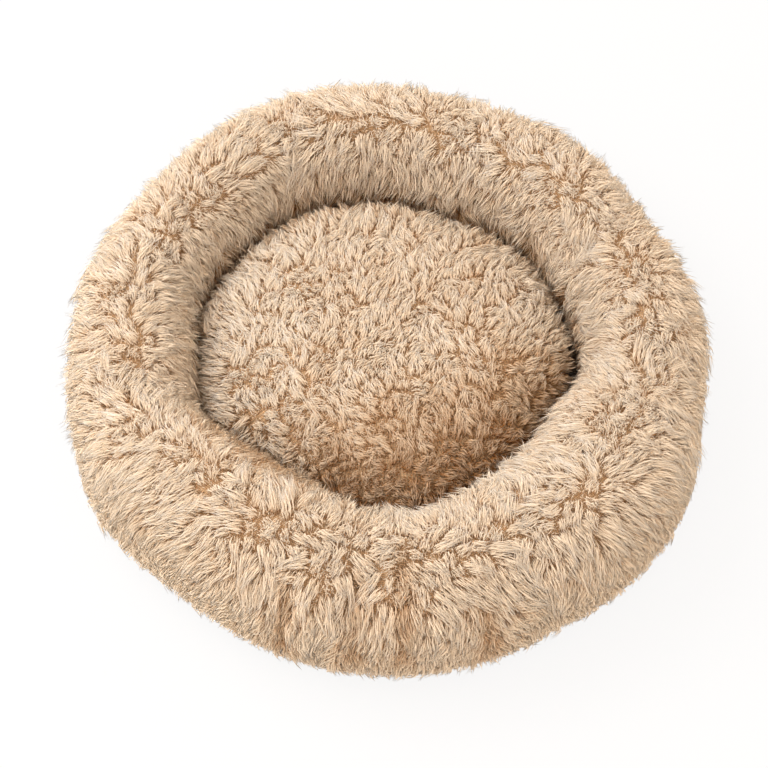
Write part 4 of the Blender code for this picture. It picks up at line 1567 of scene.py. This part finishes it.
def tape_strip(name, low, high, side):
    """A woven tape with a thicker cord along its inner edge."""
    across = (0.0, 0.06, 0.12, 0.3, 0.5, 0.7, 0.88, 0.96, 1.0)
    thick = (0.75, 1.0, 0.75, 0.6, 0.6, 0.6, 0.6, 0.7, 0.45)
    profile = list(zip(across, thick))
    profile += [(share, -depth) for share, depth in reversed(profile)]
    start, width = (low.y, high.y - low.y) if side > 0 else (high.y, low.y - high.y)
    middle, half = (low.z + high.z) / 2, (high.z - low.z) / 2
    shape = bmesh.new()
    rows = []
    for column in range(TAPE_STEPS + 1):
        east = low.x + (high.x - low.x) * column / TAPE_STEPS
        spots = [(east, start + width * share, middle + depth * half) for share, depth in profile]
        rows.append([shape.verts.new(spot) for spot in spots])
    for before, after in zip(rows, rows[1:]):
        for place in range(len(before)):
            following = (place + 1) % len(before)
            shape.faces.new((before[place], before[following], after[following], after[place]))
    shape.faces.new(rows[0])
    shape.faces.new(rows[-1])
    bmesh.ops.recalc_face_normals(shape, faces=shape.faces[:])
    return new_piece(name, from_bmesh(name, shape))


def rounded_copy(part):
    """The shape of a metal part of the zip, with its edges rounded."""
    shape = bmesh.new()
    shape.from_mesh(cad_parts[f"zip_{part}"].data)
    bmesh.ops.remove_doubles(shape, verts=shape.verts[:], dist=MERGE)
    bmesh.ops.dissolve_limit(shape, angle_limit=math.radians(2), verts=shape.verts[:], edges=shape.edges[:])
    sharp = [edge for edge in shape.edges if edge.is_manifold and edge.calc_face_angle() > math.radians(30)]
    bmesh.ops.bevel(
        shape, geom=sharp, offset=METAL_BEVEL, segments=2, profile=0.6, affect="EDGES", clamp_overlap=True
    )
    mesh = from_bmesh(f"zip_{part}_shape", shape)
    mesh.shade_smooth()
    mesh.set_sharp_from_angle(angle=math.radians(40))
    return new_piece(f"metal_{part}", mesh)


class BED_PT_panel(bpy.types.Panel):
    """Lists the steps that make the bed"""

    bl_idname = "BED_PT_panel"
    bl_label = "Pet Bed"
    bl_space_type = "VIEW_3D"
    bl_region_type = "UI"
    bl_category = "Pet Bed"

    def draw(self, context):
        for step in STEPS:
            self.layout.operator(step.bl_idname)


STEPS = (
    BED_OT_stage,
    BED_OT_ring_inside,
    BED_OT_ring_pile,
    BED_OT_cushion_pile,
    BED_OT_cushion_underside,
    BED_OT_base,
    BED_OT_sleeping_floor,
    BED_OT_zip,
)
GROUPS = (PileSettings, StageSettings)


def register():
    for group in (*GROUPS, *STEPS, BED_PT_panel):
        bpy.utils.register_class(group)
    bpy.types.Scene.bed_ring = PointerProperty(type=PileSettings)
    bpy.types.Scene.bed_cushion = PointerProperty(type=PileSettings)
    bpy.types.Scene.bed_stage = PointerProperty(type=StageSettings)


def unregister():
    for name in ("bed_ring", "bed_cushion", "bed_stage"):
        delattr(bpy.types.Scene, name)
    for group in reversed((*GROUPS, *STEPS, BED_PT_panel)):
        bpy.utils.unregister_class(group)


def main():
    register()
    cushion = bpy.context.scene.bed_cushion
    for name, value in CUSHION_PILE.items():
        setattr(cushion, name, value)
    for step in STEPS:
        prefix, name = step.bl_idname.split(".")
        getattr(getattr(bpy.ops, prefix), name)()


if __name__ == "__main__":
    main()
